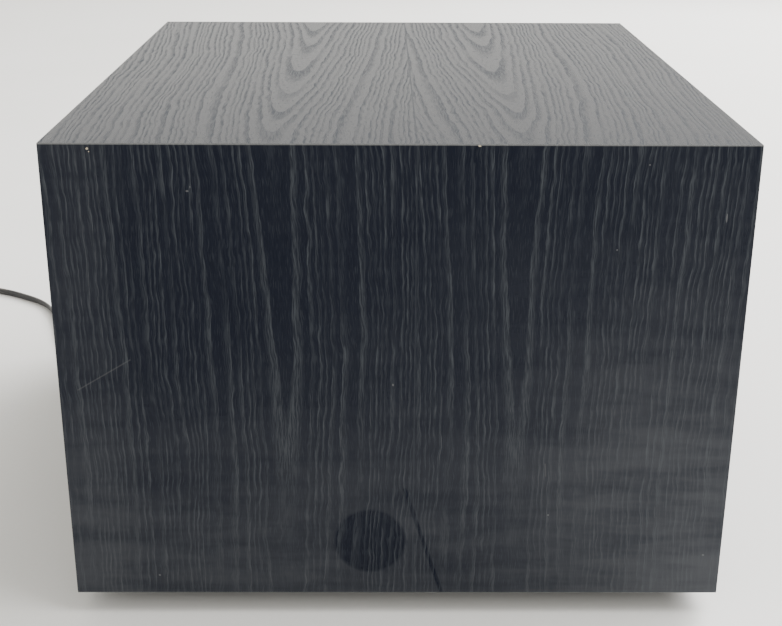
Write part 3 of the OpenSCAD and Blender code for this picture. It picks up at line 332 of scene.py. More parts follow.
def build_bands(tree, given):
    """Fine lines side by side along one direction, such as laid wire or sheets of steel."""
    place = tree.split(tree.place())
    along = tree.add(
        tree.times(place[0], given["X Share"]),
        tree.add(tree.times(place[1], given["Y Share"]), tree.times(place[2], given["Z Share"])),
    )
    wobble = tree.times(tree.cloud(tree.place(), WOBBLE_SCALE, 2.0), given["Wobble"])
    wave = tree.math("SINE", tree.add(tree.times(along, given["Lines"]), wobble))
    coarse = tree.times(along, tree.times(given["Lines"], VARIATION_PITCH))
    unlike = tree.cloud(tree.join(coarse, 0.0), 1.0, 1.0)
    return {"Height": tree.ease(wave, -1.0, 1.0), "Variation": unlike}


MOTTLE = shared_effect(
    "mottle",
    {
        "First": BLACK, "Second": WHITE, "Patch Scale": 60.0, "Grain Scale": 1500.0,
        "Roughness": 0.5, "Spread": 0.1,
    },
    {"Colour": tuple, "Roughness": float, "Height": float},
    build_mottle,
)
DUST = shared_effect(
    "settled_dust", {"Colour": BLACK, "Amount": 0.5}, {"Colour": tuple, "Dust": float}, build_dust
)
SCRATCHES = shared_effect(
    "light_scratches", {"Amount": 0.5}, {"Scratch": float}, build_scratches
)
KNIT = shared_effect("knit", {"Rows": 3000.0}, {"Height": float, "Hole": float}, build_knit)
BANDS = shared_effect(
    "bands",
    {"X Share": 0.0, "Y Share": 0.0, "Z Share": 1.0, "Lines": 9000.0, "Wobble": 1.0},
    {"Height": float, "Variation": float},
    build_bands,
)


# ---- Materials ----

materials = {}


def make_material(name, surface, **plain):
    """A material. surface gives the values that change over it, and plain those that don't."""
    material = bpy.data.materials.new(name)
    material.use_nodes = True
    tree = Tree(material.node_tree)
    shader = material.node_tree.nodes["Principled BSDF"]
    values = {**plain, **surface(tree)}
    if "Height" in values:
        bump = {"Height": values.pop("Height"), "Distance": values.pop("Depth"), "Strength": 1.0}
        values["Normal"] = tree.node("ShaderNodeBump", bump).outputs[0]
    for label, value in values.items():
        tree.feed(shader.inputs[label], value)
    materials[name] = material
    return material


def mottled(first, second, patch, grain, roughness, spread, depth, dust=0.0, scratch=0.0, **plain):
    """The surface of moulded, cast, painted or pressed pieces."""

    def surface(tree):
        base = tree.effect(
            MOTTLE, First=(*first, 1.0), Second=(*second, 1.0), Patch_Scale=patch,
            Grain_Scale=grain, Roughness=roughness, Spread=spread,
        )
        tone = base["Colour"]
        rough = base["Roughness"]
        if scratch:
            mark = tree.effect(SCRATCHES, Amount=scratch)["Scratch"]
            lighter = tuple(min(1.0, 2.2 * part + 0.02) for part in second)
            tone = tree.tint(mark, tone, (*lighter, 1.0))
        if dust:
            laid = tree.effect(DUST, Colour=tone, Amount=dust)
            tone = laid["Colour"]
            rough = tree.mix(laid["Dust"], rough, DUSTY_ROUGHNESS)
        return {"Base Color": tone, "Roughness": rough, "Height": base["Height"], "Depth": depth}

    return surface, plain


# first colour, second colour, patch scale, grain scale, roughness, spread, depth, then the rest
MOTTLED = {
    "black_board": mottled(
        (0.012, 0.012, 0.012), (0.022, 0.021, 0.020), 40.0, 1400.0, 0.62, 0.16, 0.12 * MM,
        dust=0.35),
    "foot_rubber": mottled(
        (0.018, 0.018, 0.018), (0.034, 0.033, 0.032), 70.0, 2600.0, 0.78, 0.14, 0.06 * MM,
        dust=0.5),
    "black_zinc": mottled(
        (0.030, 0.030, 0.034), (0.060, 0.058, 0.060), 300.0, 3000.0, 0.34, 0.2, 0.01 * MM,
        scratch=0.6, Metallic=0.9),
    "black_plastic": mottled(
        (0.012, 0.012, 0.013), (0.022, 0.022, 0.023), 60.0, 4200.0, 0.46, 0.16, 0.03 * MM,
        dust=0.3, scratch=0.25),
    "black_metal": mottled(
        (0.014, 0.014, 0.015), (0.026, 0.026, 0.027), 50.0, 2200.0, 0.52, 0.14, 0.05 * MM,
        dust=0.3, scratch=0.5),
    "gasket_foam": mottled(
        (0.014, 0.014, 0.014), (0.040, 0.040, 0.040), 500.0, 2800.0, 0.92, 0.1, 0.2 * MM),
    "surround_rubber": mottled(
        (0.012, 0.012, 0.013), (0.024, 0.024, 0.025), 50.0, 2600.0, 0.5, 0.24, 0.02 * MM, dust=0.3),
    "cone_pulp": mottled(
        (0.018, 0.018, 0.020), (0.050, 0.049, 0.050), 260.0, 1500.0, 0.76, 0.2, 0.22 * MM),
    "cap_plastic": mottled(
        (0.013, 0.013, 0.014), (0.024, 0.024, 0.026), 80.0, 2600.0, 0.33, 0.14, 0.012 * MM,
        dust=0.3),
    "ferrite": mottled(
        (0.030, 0.030, 0.032), (0.075, 0.073, 0.076), 160.0, 1700.0, 0.66, 0.3, 0.1 * MM,
        scratch=0.5),
    "zinc_steel": mottled(
        (0.46, 0.46, 0.45), (0.66, 0.65, 0.62), 180.0, 2400.0, 0.3, 0.22, 0.01 * MM,
        scratch=0.6, Metallic=1.0),
    "black_epoxy": mottled(
        (0.014, 0.014, 0.015), (0.028, 0.028, 0.030), 120.0, 3000.0, 0.36, 0.2, 0.02 * MM),
    "gold_plate": mottled(
        (0.78, 0.55, 0.22), (0.90, 0.68, 0.32), 220.0, 2600.0, 0.22, 0.16, 0.006 * MM,
        scratch=0.4, Metallic=1.0),
    "red_plastic": mottled(
        (0.34, 0.012, 0.012), (0.46, 0.020, 0.018), 90.0, 3600.0, 0.4, 0.14, 0.02 * MM, dust=0.25),
    "cord_sleeve": mottled(
        (0.016, 0.016, 0.018), (0.034, 0.033, 0.034), 60.0, 3200.0, 0.5, 0.2, 0.015 * MM,
        dust=0.55),
}
for slot_name, (surface, plain) in MOTTLED.items():
    make_material(slot_name, surface, **plain)


# first colour, second colour, patch scale, grain scale, roughness, spread
MOTTLES = {
    "fibreboard": ((0.40, 0.27, 0.15), (0.60, 0.45, 0.28), 35.0, 1100.0, 0.84, 0.12),
    "spider_cloth": ((0.42, 0.24, 0.07), (0.66, 0.43, 0.17), 120.0, 1200.0, 0.6, 0.2),
    "core_steel": ((0.17, 0.15, 0.13), (0.33, 0.31, 0.29), 90.0, 1500.0, 0.42, 0.3),
    "winding_tape": ((0.62, 0.42, 0.05), (0.78, 0.58, 0.12), 60.0, 700.0, 0.3, 0.2),
    "capacitor_sleeve": ((0.010, 0.018, 0.075), (0.018, 0.030, 0.115), 120.0, 2400.0, 0.28, 0.16),
    "circuit_board": ((0.012, 0.080, 0.036), (0.020, 0.110, 0.050), 60.0, 2200.0, 0.3, 0.1),
    "wire_sleeve": ((0.30, 0.012, 0.012), (0.42, 0.022, 0.020), 80.0, 2600.0, 0.42, 0.14),
    "lamp_lens": ((0.06, 0.42, 0.12), (0.12, 0.60, 0.20), 400.0, 2600.0, 0.18, 0.1),
    "paper": ((0.76, 0.75, 0.725), (0.79, 0.78, 0.76), 1.2, 300.0, 0.85, 0.05),
}


def mottle(tree, name):
    """The mottle of one special surface, with its own values."""
    first, second, patch, grain, roughness, spread = MOTTLES[name]
    return tree.effect(
        MOTTLE, First=(*first, 1.0), Second=(*second, 1.0), Patch_Scale=patch,
        Grain_Scale=grain, Roughness=roughness, Spread=spread,
    )


def layers(tone, roughness, height):
    return {"Base Color": tone, "Roughness": roughness, "Height": height}


# Marks on the vinyl: place across the grain, place along it, half sizes, all in mm.
# The place along it is 0 at the left top fold, negative down the left side.
CHIPS = (
    (156.0, -2.8, 0.7, 0.6), (155.2, -4.4, 0.3, 0.3), (-49.7, -0.8, 0.7, 0.5),
    (182.6, 70.5, 0.6, 11.0),
)
SPECKS = (
    (104.8, -25.6, 0.7, 0.5), (103.2, -23.4, 0.3, 0.6),
    (-4.8, -137.5, 0.5, 0.7), (-139.6, -10.7, 0.5, 0.4), (-125.3, -57.8, 0.4, 0.4),
    (-188.6, -246.8, 0.7, 0.5), (132.8, -260.7, 0.6, 0.6), (-95.7, -220.1, 0.5, 0.6),
    (-183.0, -39.6, 0.35, 2.6), (57.0, 202.5, 4.5, 0.5),
)
SEAM_Y = -17 * MM
# distances over which a fold's painted highlight fades, along the sheet and in from its edge
FOLD_FADE = (0.9 * MM, 0.35 * MM)
EDGE_FADE = (1.2 * MM, 0.7 * MM)
LEFT_FIGURE_Y = 58 * MM
RIGHT_FIGURE_Y = -74 * MM


# how ragged the small marks are, and where they end
RAGGED_SCALE = 1500.0
RAGGED_REACH = 1.1
MARK_EDGES = (1.15, 0.85)


def marks(tree, across, along, places):
    """1 inside each small oval mark, 0 elsewhere."""
    total = 0.0
    rough = tree.less(tree.cloud(tree.place(), RAGGED_SCALE, 2.0), 0.5)
    ragged = tree.times(rough, RAGGED_REACH)
    for at, down, half_across, half_along in places:
        from_middle = tree.join(
            tree.times(tree.less(across, at * MM), 1 / (half_across * MM)),
            tree.times(tree.less(along, down * MM), 1 / (half_along * MM)),
        )
        distance = tree.add(tree.length(from_middle), ragged)
        total = tree.larger(total, tree.ease(distance, *MARK_EDGES))
    return total


def sheet_place(tree):
    """A place on the vinyl sheet: across its grain, along it over the folds round the cabinet,
    its height, whether it is on a side, and how close it is to a fold, which masks the folds' painted
    highlight.
    """
    x, y, z = tree.place_parts()
    past_side = tree.less(tree.size(x), cabinet_width / 2)
    past_top = tree.less(tree.size(tree.less(z, cabinet_middle_z)), cabinet_height / 2)
    on_side = tree.above(past_side, past_top)
    on_right = tree.above(x, 0.0)
    on_top = tree.above(z, cabinet_middle_z)
    down = tree.less(z, wrap_high.z)
    right = tree.less(cabinet_width, down)
    over = tree.add(x, cabinet_width / 2)
    under = tree.less(-cabinet_height, over)
    side = tree.mix(on_right, down, right)
    level = tree.mix(on_top, under, over)
    inward = tree.times(tree.larger(past_side, past_top), -1.0)
    folded = tree.times(tree.math("SIGN", y), tree.larger(inward, 0.0))
    off_fold = tree.size(tree.less(past_side, past_top))
    fold = tree.times(tree.ease(off_fold, *FOLD_FADE), tree.ease(inward, *EDGE_FADE))
    return tree.add(y, folded), tree.mix(on_side, level, side), z, on_side, fold


LINE_PITCH = 3.9 * MM
FIGURE_WIDTH = 17 * MM
# how fast the figures narrow along the top, and along the whole sheet
TOP_NARROWING = 0.034
SHEET_NARROWING = 0.012
# how far the lines crowd together or spread
CROWDING = 5.6
# scales across and along the sheet, and limits, of the parts that make up the lines
CROWD_SCALES = (48.0, 0.8)
LINE_START = (0.0, 0.06)
LINE_END = (0.68, 0.07)
OWN_SCALES = (3.7, 9.0)
OWN_STRENGTH = (0.3, 0.6, 0.25, 1.0)
STREAK_SCALES = (1500.0, 70.0)
STREAK_EDGES = (0.43, 0.59)
PORE_SCALES = (2100.0, 120.0)
PORE_EDGES = (0.56, 0.68)
UNBROKEN = 0.18
# (scale across, scale along, reach) of each of the lines' bends, from slow sways to ragged edges
SWAYS = (
    (7.0, 3.0, 26 * MM), (34.0, 20.0, 4.6 * MM), (95.0, 70.0, 2.4 * MM), (280.0, 160.0, 0.9 * MM),
)


def stretched(tree, across, along, scales):
    return tree.join(tree.times(across, scales[0]), tree.times(along, scales[1]))


def build_wood_lines(tree, given):
    """Pressed wood grain: growth lines that bend into arches, fine streaks in them, and pores."""
    across = given["Across"]
    along = given["Along"]
    bent = across
    for across_scale, along_scale, sway in SWAYS:
        wave_place = stretched(tree, across, along, (across_scale, along_scale))
        wave = tree.less(tree.cloud(wave_place, 1.0, 1.0), 0.5)
        bent = tree.add(bent, tree.times(wave, sway))
    from_middle = tree.less(bent, given["Figure"])
    squared = tree.add(tree.times(from_middle, from_middle), FIGURE_WIDTH ** 2)
    arch = tree.math("SQRT", squared)
    over_top = tree.larger(along, 0.0)
    rise = tree.add(tree.times(over_top, TOP_NARROWING), tree.times(along, SHEET_NARROWING))
    ring = tree.less(arch, rise)
    crowd_place = stretched(tree, ring, along, CROWD_SCALES)
    crowd = tree.less(tree.cloud(crowd_place, 1.0, 1.0), 0.5)
    phase = tree.add(tree.times(ring, 1 / LINE_PITCH), tree.times(crowd, CROWDING))
    share = tree.math("FRACT", phase)
    count = tree.math("FLOOR", phase)
    stripe = tree.times(tree.ease(share, *LINE_START), tree.ease(share, *LINE_END))
    own = tree.cloud(stretched(tree, count, along, OWN_SCALES), 1.0, 2.0)
    streak_place = stretched(tree, bent, along, STREAK_SCALES)
    streak = tree.ease(tree.cloud(streak_place, 1.0, *BROKEN_CLOUD), *STREAK_EDGES)
    pore_place = stretched(tree, bent, along, PORE_SCALES)
    pores = tree.ease(tree.cloud(pore_place, 1.0, 1.0), *PORE_EDGES)
    broken = tree.add(tree.times(streak, 1 - UNBROKEN), UNBROKEN)
    strength = tree.times(tree.ease(own, *OWN_STRENGTH), broken)
    return {"Lines": tree.times(stripe, strength), "Pores": pores, "Streaks": streak}


WOOD_LINES = shared_effect(
    "wood_lines",
    {"Across": 0.0, "Along": 0.0, "Figure": 0.0},
    {"Lines": float, "Pores": float, "Streaks": float},
    build_wood_lines,
)


# Ends of straight marks on the left side, each (across, height), in mm
RUBBED_STROKES = (((-12.1, 83.3), (-34.2, 14.7)),)
LIGHT_SCRATCHES = (((171.7, 146.1), (141.4, 164.4)), ((-92.5, 100.0), (-93.0, 92.4)))
RUB_FADE = (1.6 * MM, 0.7 * MM)
SCRATCH_FADE = (0.5 * MM, 0.2 * MM)
SEAM_FADE = (0.6 * MM, 0.25 * MM)
# The round spot on each side where the pale film is thinner
SPOT_Y = 8.2 * MM
SPOT_Z = 49.5 * MM
SPOT_OUTER = 22 * MM
SPOT_INNER = 19.5 * MM


def off_line(tree, across, height, start, end):
    """How far a place is from the line between two points."""
    start = Vector(start) * MM
    end = Vector(end) * MM
    ahead = (end - start).normalized()
    half = (end - start).length / 2
    centre = (start + end) / 2
    right = tree.less(across, centre.x)
    up = tree.less(height, centre.y)
    along = tree.add(tree.times(right, ahead.x), tree.times(up, ahead.y))
    beside = tree.add(tree.times(right, -ahead.y), tree.times(up, ahead.x))
    past = tree.larger(tree.less(tree.size(along), half), 0.0)
    squares = tree.add(tree.times(beside, beside), tree.times(past, past))
    return tree.math("SQRT", squares)


# where each part of the pale side film starts and ends, and how thick it is
HAZE_STRETCH = (5.0, 5.0, 7.0)
HAZE_EDGES = (0.36, 0.68)
HAZE_SHARE = 0.16
LOW_HEIGHTS = (0.19, 0.03)
LOW_SHARE = 0.75
WIPE_STRETCH = (60.0, 12.0, 70.0)
WIPE_EDGES = (0.2, 0.7, 0.45, 1.0)
REAR_BAND = (wrap_high.y - 48 * MM, wrap_high.y - 20 * MM, 0.0, 0.25)
FRONT_BAND = (-40 * MM, -175 * MM)
FRONT_HEIGHTS = (0.27, 0.12, 0.1, 0.75)
THINNED_SHARE = 0.75


def pale_side_film(tree, across, height, on_side):
    """A pale film on the sides, thicker low down and at the rear, and thinner in one round spot."""
    place = tree.place()
    haze = tree.ease(tree.cloud(tree.scaled(place, HAZE_STRETCH), 1.0, *SOFT_CLOUD), *HAZE_EDGES)
    # the film thickens towards the bottom of each side, so the sides are paler low down
    low = tree.ease(height, *LOW_HEIGHTS)
    wiped = tree.cloud(tree.scaled(place, WIPE_STRETCH), 1.0, *BROKEN_CLOUD)
    rear = tree.ease(across, *REAR_BAND)
    front = tree.times(tree.ease(across, *FRONT_BAND), tree.ease(height, *FRONT_HEIGHTS))
    thick = tree.add(tree.times(low, LOW_SHARE), tree.add(rear, front))
    film = tree.add(tree.times(haze, HAZE_SHARE), thick)
    film = tree.times(tree.times(film, tree.ease(wiped, *WIPE_EDGES)), on_side)
    # the round spot and the rubbed strokes get less of the film, so they stay darker
    spot = tree.join(tree.less(across, SPOT_Y), tree.less(height, SPOT_Z))
    thinned = tree.ease(tree.length(spot), SPOT_OUTER, SPOT_INNER)
    for stroke in RUBBED_STROKES:
        rubbed = tree.ease(off_line(tree, across, height, *stroke), *RUB_FADE)
        thinned = tree.larger(thinned, rubbed)
    return tree.times(film, tree.less(1.0, tree.times(thinned, THINNED_SHARE)))


VINYL_DARK = (0.0014, 0.0030, 0.0092, 1.0)
VINYL_STREAK = (0.0034, 0.0054, 0.0122, 1.0)
PRESSED_TONE = (0.041, 0.046, 0.053, 1.0)
FILM_TONE = (0.088, 0.092, 0.099, 1.0)
SPECK_TONE = (0.16, 0.16, 0.16, 1.0)
# the next tone is a painted highlight laid along the outer folds
FOLD_HIGHLIGHT_TONE = (0.26, 0.26, 0.25, 1.0)
CHIP_TONE = (0.46, 0.40, 0.30, 1.0)
SEAM_STRENGTH = 0.35
LINE_STRENGTH = 0.85
PORE_STRENGTH = 0.22
FILM_SHARE = 0.36
SCRATCH_SHARE = 0.34
SPECK_SHARE = 0.45
FOLD_HIGHLIGHT_SHARE = 0.35
CHIP_SHARE = 0.8
SMOOTH_SHINE = 0.24
PRESSED_SHINE = 0.72
WORN_ROUGHNESS = 0.9


def cabinet_vinyl(tree):
    """Black vinyl with pressed wood grain, a pale film on its sides, a painted highlight along its folds,
    chipped at its folds and lightly scratched.
    """
    across, along, height, on_side, fold = sheet_place(tree)
    left_leaf = tree.above(across, SEAM_Y)
    figure = tree.mix(left_leaf, RIGHT_FIGURE_Y, LEFT_FIGURE_Y)
    grain = tree.effect(WOOD_LINES, Across=across, Along=along, Figure=figure)
    seam = tree.ease(tree.size(tree.less(across, SEAM_Y)), *SEAM_FADE)
    lines = tree.larger(grain["Lines"], tree.times(seam, SEAM_STRENGTH))
    pores = tree.times(grain["Pores"], PORE_STRENGTH)
    pressed = tree.math("ADD", tree.times(lines, LINE_STRENGTH), pores, clamp=True)
    ground = tree.tint(grain["Streaks"], VINYL_DARK, VINYL_STREAK)
    tone = tree.tint(pressed, ground, PRESSED_TONE)
    film = pale_side_film(tree, across, height, on_side)
    tone = tree.tint(tree.times(film, FILM_SHARE), tone, FILM_TONE)
    chip = marks(tree, across, along, CHIPS)
    speck = marks(tree, across, along, SPECKS)
    scratch = 0.0
    for stroke in LIGHT_SCRATCHES:
        line = tree.ease(off_line(tree, across, height, *stroke), *SCRATCH_FADE)
        scratch = tree.larger(scratch, tree.times(line, on_side))
    speck = tree.larger(speck, tree.times(scratch, SCRATCH_SHARE))
    tone = tree.tint(tree.times(speck, SPECK_SHARE), tone, SPECK_TONE)
    # painted highlight: the outer folds are lightened where they would catch the light
    tone = tree.tint(tree.times(fold, FOLD_HIGHLIGHT_SHARE), tone, FOLD_HIGHLIGHT_TONE)
    tone = tree.tint(tree.times(chip, CHIP_SHARE), tone, CHIP_TONE)
    shine = tree.add(tree.mix(pressed, SMOOTH_SHINE, PRESSED_SHINE), tree.times(film, 0.2))
    worn = tree.larger(chip, tree.times(speck, 0.6))
    return {
        "Base Color": tone,
        "Roughness": tree.mix(worn, shine, WORN_ROUGHNESS),
        "Height": tree.less(1.0, tree.add(tree.times(pressed, 0.8), tree.times(chip, 1.5))),
    }


make_material("cabinet_vinyl", cabinet_vinyl, Depth=0.05 * MM, **{"Specular IOR Level": 0.085})


STAIN_DEPTH = 1 * MM
STAIN_TONE = (0.010, 0.010, 0.010, 1.0)
LOOP_TONE = (0.020, 0.020, 0.022, 1.0)
HOLE_TONE = (0.004, 0.004, 0.004, 1.0)
LINT_TONE = (0.22, 0.21, 0.20, 1.0)


def fibreboard(tree):
    """Pressed wood fibre, stained black where it shows round the grille and the rear board."""
    place = tree.place()
    fibres = tree.cloud(tree.scaled(place, (320.0, 320.0, 900.0)), 1.0, 4.0, 0.7)
    base = mottle(tree, "fibreboard")
    tone = tree.tint(tree.ease(fibres, 0.55, 0.75), base["Colour"], (0.26, 0.16, 0.08, 1.0))
    y = tree.split(place)[1]
    in_front = tree.below(y, baffle_y + STAIN_DEPTH)
    behind = tree.above(y, rear_face_y - STAIN_DEPTH)
    tone = tree.tint(tree.larger(in_front, behind), tone, STAIN_TONE)
    return layers(tone, base["Roughness"], fibres)


def grille_fabric(tree):
    """Thin black knit with a little dust and lint."""
    knit = tree.effect(KNIT, Rows=2900.0)
    tone = tree.tint(knit["Hole"], LOOP_TONE, HOLE_TONE)
    laid = tree.effect(DUST, Colour=tone, Amount=0.12)
    lint = tree.ease(tree.cells(tree.scaled(tree.place(), (260.0, 900.0, 420.0)), 1.0), 0.09, 0.04)
    tone = tree.tint(tree.times(lint, 0.35), laid["Colour"], LINT_TONE)
    return layers(tone, 0.93, knit["Height"])


# the next tone is painted shade for the grooves between turns of wire
COPPER_GROOVE_SHADE = (0.34, 0.13, 0.05, 1.0)
COPPER_BRIGHT = (0.80, 0.40, 0.19, 1.0)
BARE_METAL = (0.62, 0.62, 0.62, 1.0)
STRIPE_TONE = (0.55, 0.56, 0.56, 1.0)
STRIPE_OFF = 11.5 * MM
FIBRE_DARK = (0.50, 0.50, 0.47, 1.0)
FIBRE_LIGHT = (0.86, 0.86, 0.83, 1.0)


def spider_cloth(tree):
    """Woven cloth stiffened with amber resin."""
    knit = tree.effect(KNIT, Rows=5200.0)
    base = mottle(tree, "spider_cloth")
    tone = tree.tint(knit["Hole"], base["Colour"], (0.22, 0.12, 0.04, 1.0))
    return layers(tone, base["Roughness"], knit["Height"])


def copper_wire(tree):
    """Enamelled or braided copper in fine turns, painted darker into the grooves between them as shade."""
    laid = tree.effect(BANDS, X_Share=0.0, Y_Share=1.0, Z_Share=0.0, Lines=9000.0, Wobble=0.6)
    # painted shade: the tone darkens from each turn's crest into the grooves
    tone = tree.tint(laid["Height"], COPPER_GROOVE_SHADE, COPPER_BRIGHT)
    return layers(tone, tree.mix(laid["Variation"], 0.22, 0.4), laid["Height"])


def core_steel(tree):
    """Stacked steel sheets with dark gaps between them."""
    stack = tree.effect(BANDS, X_Share=0.0, Y_Share=1.0, Z_Share=0.0, Lines=12566.0, Wobble=0.3)
    base = mottle(tree, "core_steel")
    tone = tree.tint(tree.ease(stack["Height"], 0.3, 0.0), base["Colour"], (0.05, 0.045, 0.04, 1.0))
    return layers(tone, base["Roughness"], stack["Height"])


def winding_tape(tree):
    """Yellow tape in laps round the winding."""
    turns = tree.effect(BANDS, X_Share=0.0, Y_Share=0.05, Z_Share=1.0, Lines=520.0, Wobble=0.8)
    base = mottle(tree, "winding_tape")
    lap = tree.ease(turns["Height"], 0.12, 0.0)
    tone = tree.tint(tree.times(lap, 0.6), base["Colour"], (0.36, 0.21, 0.02, 1.0))
    return layers(tone, base["Roughness"], turns["Height"])


def capacitor_sleeve(tree):
    """A dark blue sleeve with one pale stripe down it, and a bare metal end."""
    base = mottle(tree, "capacitor_sleeve")
    place = tree.split(tree.place())
    stripe = tree.below(place[0], middle("filter_capacitors").x - STRIPE_OFF)
    end = tree.ease(tree.facing()[1], -0.7, -0.9)
    tone = tree.tint(stripe, base["Colour"], STRIPE_TONE)
    tone = tree.tint(end, tone, BARE_METAL)
    return {**layers(tone, base["Roughness"], base["Height"]), "Metallic": end}


def circuit_board(tree):
    """Green mask with tracks under it and rows of soldered pads."""
    place = tree.place()
    track_place = tree.scaled(place, (110.0, 0.0, 150.0))
    track_edges = tree.cells(track_place, 1.0, feature="DISTANCE_TO_EDGE")
    tracks = tree.ease(track_edges, 0.1, 0.06)
    pad_place = tree.scaled(place, (390.0, 0.0, 390.0))
    pads = tree.ease(tree.cells(pad_place, 1.0), 0.2, 0.12)
    some = tree.ease(tree.cloud(place, 60.0, 1.0), 0.55, 0.6)
    pads = tree.times(pads, some)
    base = mottle(tree, "circuit_board")
    tone = tree.tint(tree.times(tracks, 0.6), base["Colour"], (0.040, 0.20, 0.085, 1.0))
    tone = tree.tint(pads, tone, (0.70, 0.70, 0.68, 1.0))
    return {
        "Base Color": tone, "Metallic": pads, "Roughness": base["Roughness"],
        "Height": tree.add(tracks, tree.times(pads, 2.0)),
    }


def wadding_fibre(tree):
    """Loose strands of pale fibre, crossing in three directions."""
    place = tree.place()
    strands = 0.0
    for stretch in ((900.0, 70.0, 240.0), (130.0, 800.0, 300.0), (300.0, 200.0, 900.0)):
        strands = tree.larger(strands, tree.cloud(tree.scaled(place, stretch), 1.0, 3.0, 0.7))
    tone = tree.tint(tree.ease(strands, 0.45, 0.8), FIBRE_DARK, FIBRE_LIGHT)
    return layers(tone, 0.96, strands)


def wire_sleeve(tree):
    """Soft red plastic round a wire, lightly dusty."""
    base = mottle(tree, "wire_sleeve")
    laid = tree.effect(DUST, Colour=base["Colour"], Amount=0.3)
    return layers(laid["Colour"], base["Roughness"], base["Height"])


def lamp_lens(tree):
    """Tinted clear plastic, a little milky in its middle."""
    base = mottle(tree, "lamp_lens")
    return layers(base["Colour"], base["Roughness"], base["Height"])


KNOB_MIDDLES = tuple(middle(name) for name in ("level_knob", "crossover_knob"))
KNOB_FRONT_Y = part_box("level_knob")[1].y
WHITE_PRINT = (0.62, 0.62, 0.60, 1.0)
SCALE_INNER = 13.2 * MM
SCALE_OUTER = 16.2 * MM
SCALE_SWEEP = math.radians(150)
SCALE_STEP = math.radians(30)
PRINT_HALF = 0.28 * MM
# how far the printed frame stands off each block
FRAMED_BLOCKS = {"rca_block": 3.5 * MM, "terminal_block": 3.0 * MM}
NOTCH_HALF = 0.58 * MM
NOTCH_DEPTH = 0.5 * MM


def knob_scale(tree, x, z, centre):
    """Short lines round a knob, one for each step of its turn."""
    right = tree.less(x, centre.x)
    up = tree.less(z, centre.z)
    radius = tree.math("SQRT", tree.add(tree.times(right, right), tree.times(up, up)))
    angle = tree.math("ARCTAN2", right, up)
    steps = tree.add(tree.times(angle, 1 / SCALE_STEP), 0.5)
    off_tick = tree.less(tree.math("FRACT", steps), 0.5)
    aside = tree.times(tree.size(off_tick), tree.times(radius, SCALE_STEP))
    tick = tree.below(aside, PRINT_HALF)
    tick = tree.times(tick, tree.above(radius, SCALE_INNER))
    tick = tree.times(tick, tree.below(radius, SCALE_OUTER))
    return tree.times(tick, tree.below(tree.size(angle), SCALE_SWEEP + SCALE_STEP / 2))


def print_frame(tree, x, z, centre, half_wide, half_high):
    """A thin printed line round a group of sockets."""
    past_x = tree.less(tree.size(tree.less(x, centre.x)), half_wide)
    past_z = tree.less(tree.size(tree.less(z, centre.z)), half_high)
    edge = tree.size(tree.larger(past_x, past_z))
    return tree.below(edge, PRINT_HALF * 0.8)


def printed_plate(tree):
    """Powder-coated steel with white printed scales and frames on its outer face."""
    values = MOTTLED["black_metal"][0](tree)
    x, _, z = tree.place_parts()
    ink = 0.0
    for centre in KNOB_MIDDLES:
        ink = tree.larger(ink, knob_scale(tree, x, z, centre))
    for group, spare in FRAMED_BLOCKS.items():
        low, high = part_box(group)
        half_wide = (high.x - low.x) / 2 + spare
        half_high = (high.z - low.z) / 2 + spare
        ink = tree.larger(ink, print_frame(tree, x, z, middle(group), half_wide, half_high))
    ink = tree.times(ink, tree.ease(tree.facing()[1], 0.5, 0.9))
    worn = tree.ease(tree.cloud(tree.place(), 900.0, 3.0, 0.7), 0.3, 0.45)
    ink = tree.times(ink, worn)
    values["Base Color"] = tree.tint(ink, values["Base Color"], WHITE_PRINT)
    return values


def knob_plastic(tree):
    """Moulded plastic with a white line laid in the knob's notch."""
    values = MOTTLED["black_plastic"][0](tree)
    x, y, z = tree.place_parts()
    line = 0.0
    for centre in KNOB_MIDDLES:
        aside = tree.size(tree.less(x, centre.x))
        beyond = tree.above(z, centre.z)
        line = tree.larger(line, tree.times(tree.below(aside, NOTCH_HALF), beyond))
    sunk = tree.below(y, KNOB_FRONT_Y - NOTCH_DEPTH)
    in_notch = tree.times(sunk, tree.ease(tree.facing()[1], 0.5, 0.9))
    values["Base Color"] = tree.tint(tree.times(line, in_notch), values["Base Color"], WHITE_PRINT)
    return values


make_material("printed_plate", printed_plate)
make_material("knob_plastic", knob_plastic)
make_material("fibreboard", fibreboard, Depth=0.2 * MM)
make_material("grille_fabric", grille_fabric, Depth=0.3 * MM, **{"Specular IOR Level": 0.1})
make_material("spider_cloth", spider_cloth, Depth=0.12 * MM)
make_material("copper_wire", copper_wire, Depth=0.08 * MM, Metallic=1.0)
make_material("core_steel", core_steel, Depth=0.05 * MM, Metallic=0.7)
make_material("winding_tape", winding_tape, Depth=0.06 * MM)
make_material("capacitor_sleeve", capacitor_sleeve, Depth=0.01 * MM)
make_material("circuit_board", circuit_board, Depth=0.03 * MM)
make_material("wadding_fibre", wadding_fibre, Depth=0.6 * MM)
make_material("wire_sleeve", wire_sleeve, Depth=0.01 * MM)
make_material("lamp_lens", lamp_lens, Depth=0.004 * MM)

for part in frame["record"]["subparts"]:
    mesh = frame["nodes"][part["node"]].data
    mesh.materials.clear()
    mesh.materials.append(materials[part["material_slot"]])
PRINTED_NODES = {
    "amp_plate": "printed_plate", "level_knob": "knob_plastic", "crossover_knob": "knob_plastic",
}
for node, special in PRINTED_NODES.items():
    frame["nodes"][node].data.materials[0] = materials[special]


# ---- Mesh helpers ----


def add_piece(name, mesh, slot_name, body="root"):
    """A new piece on a body, with the slot's material."""
    piece = bpy.data.objects.new(name, mesh)
    bpy.context.scene.collection.objects.link(piece)
    if not mesh.materials:
        mesh.materials.append(materials[slot_name])
    if body:
        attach(piece, body)
    return piece


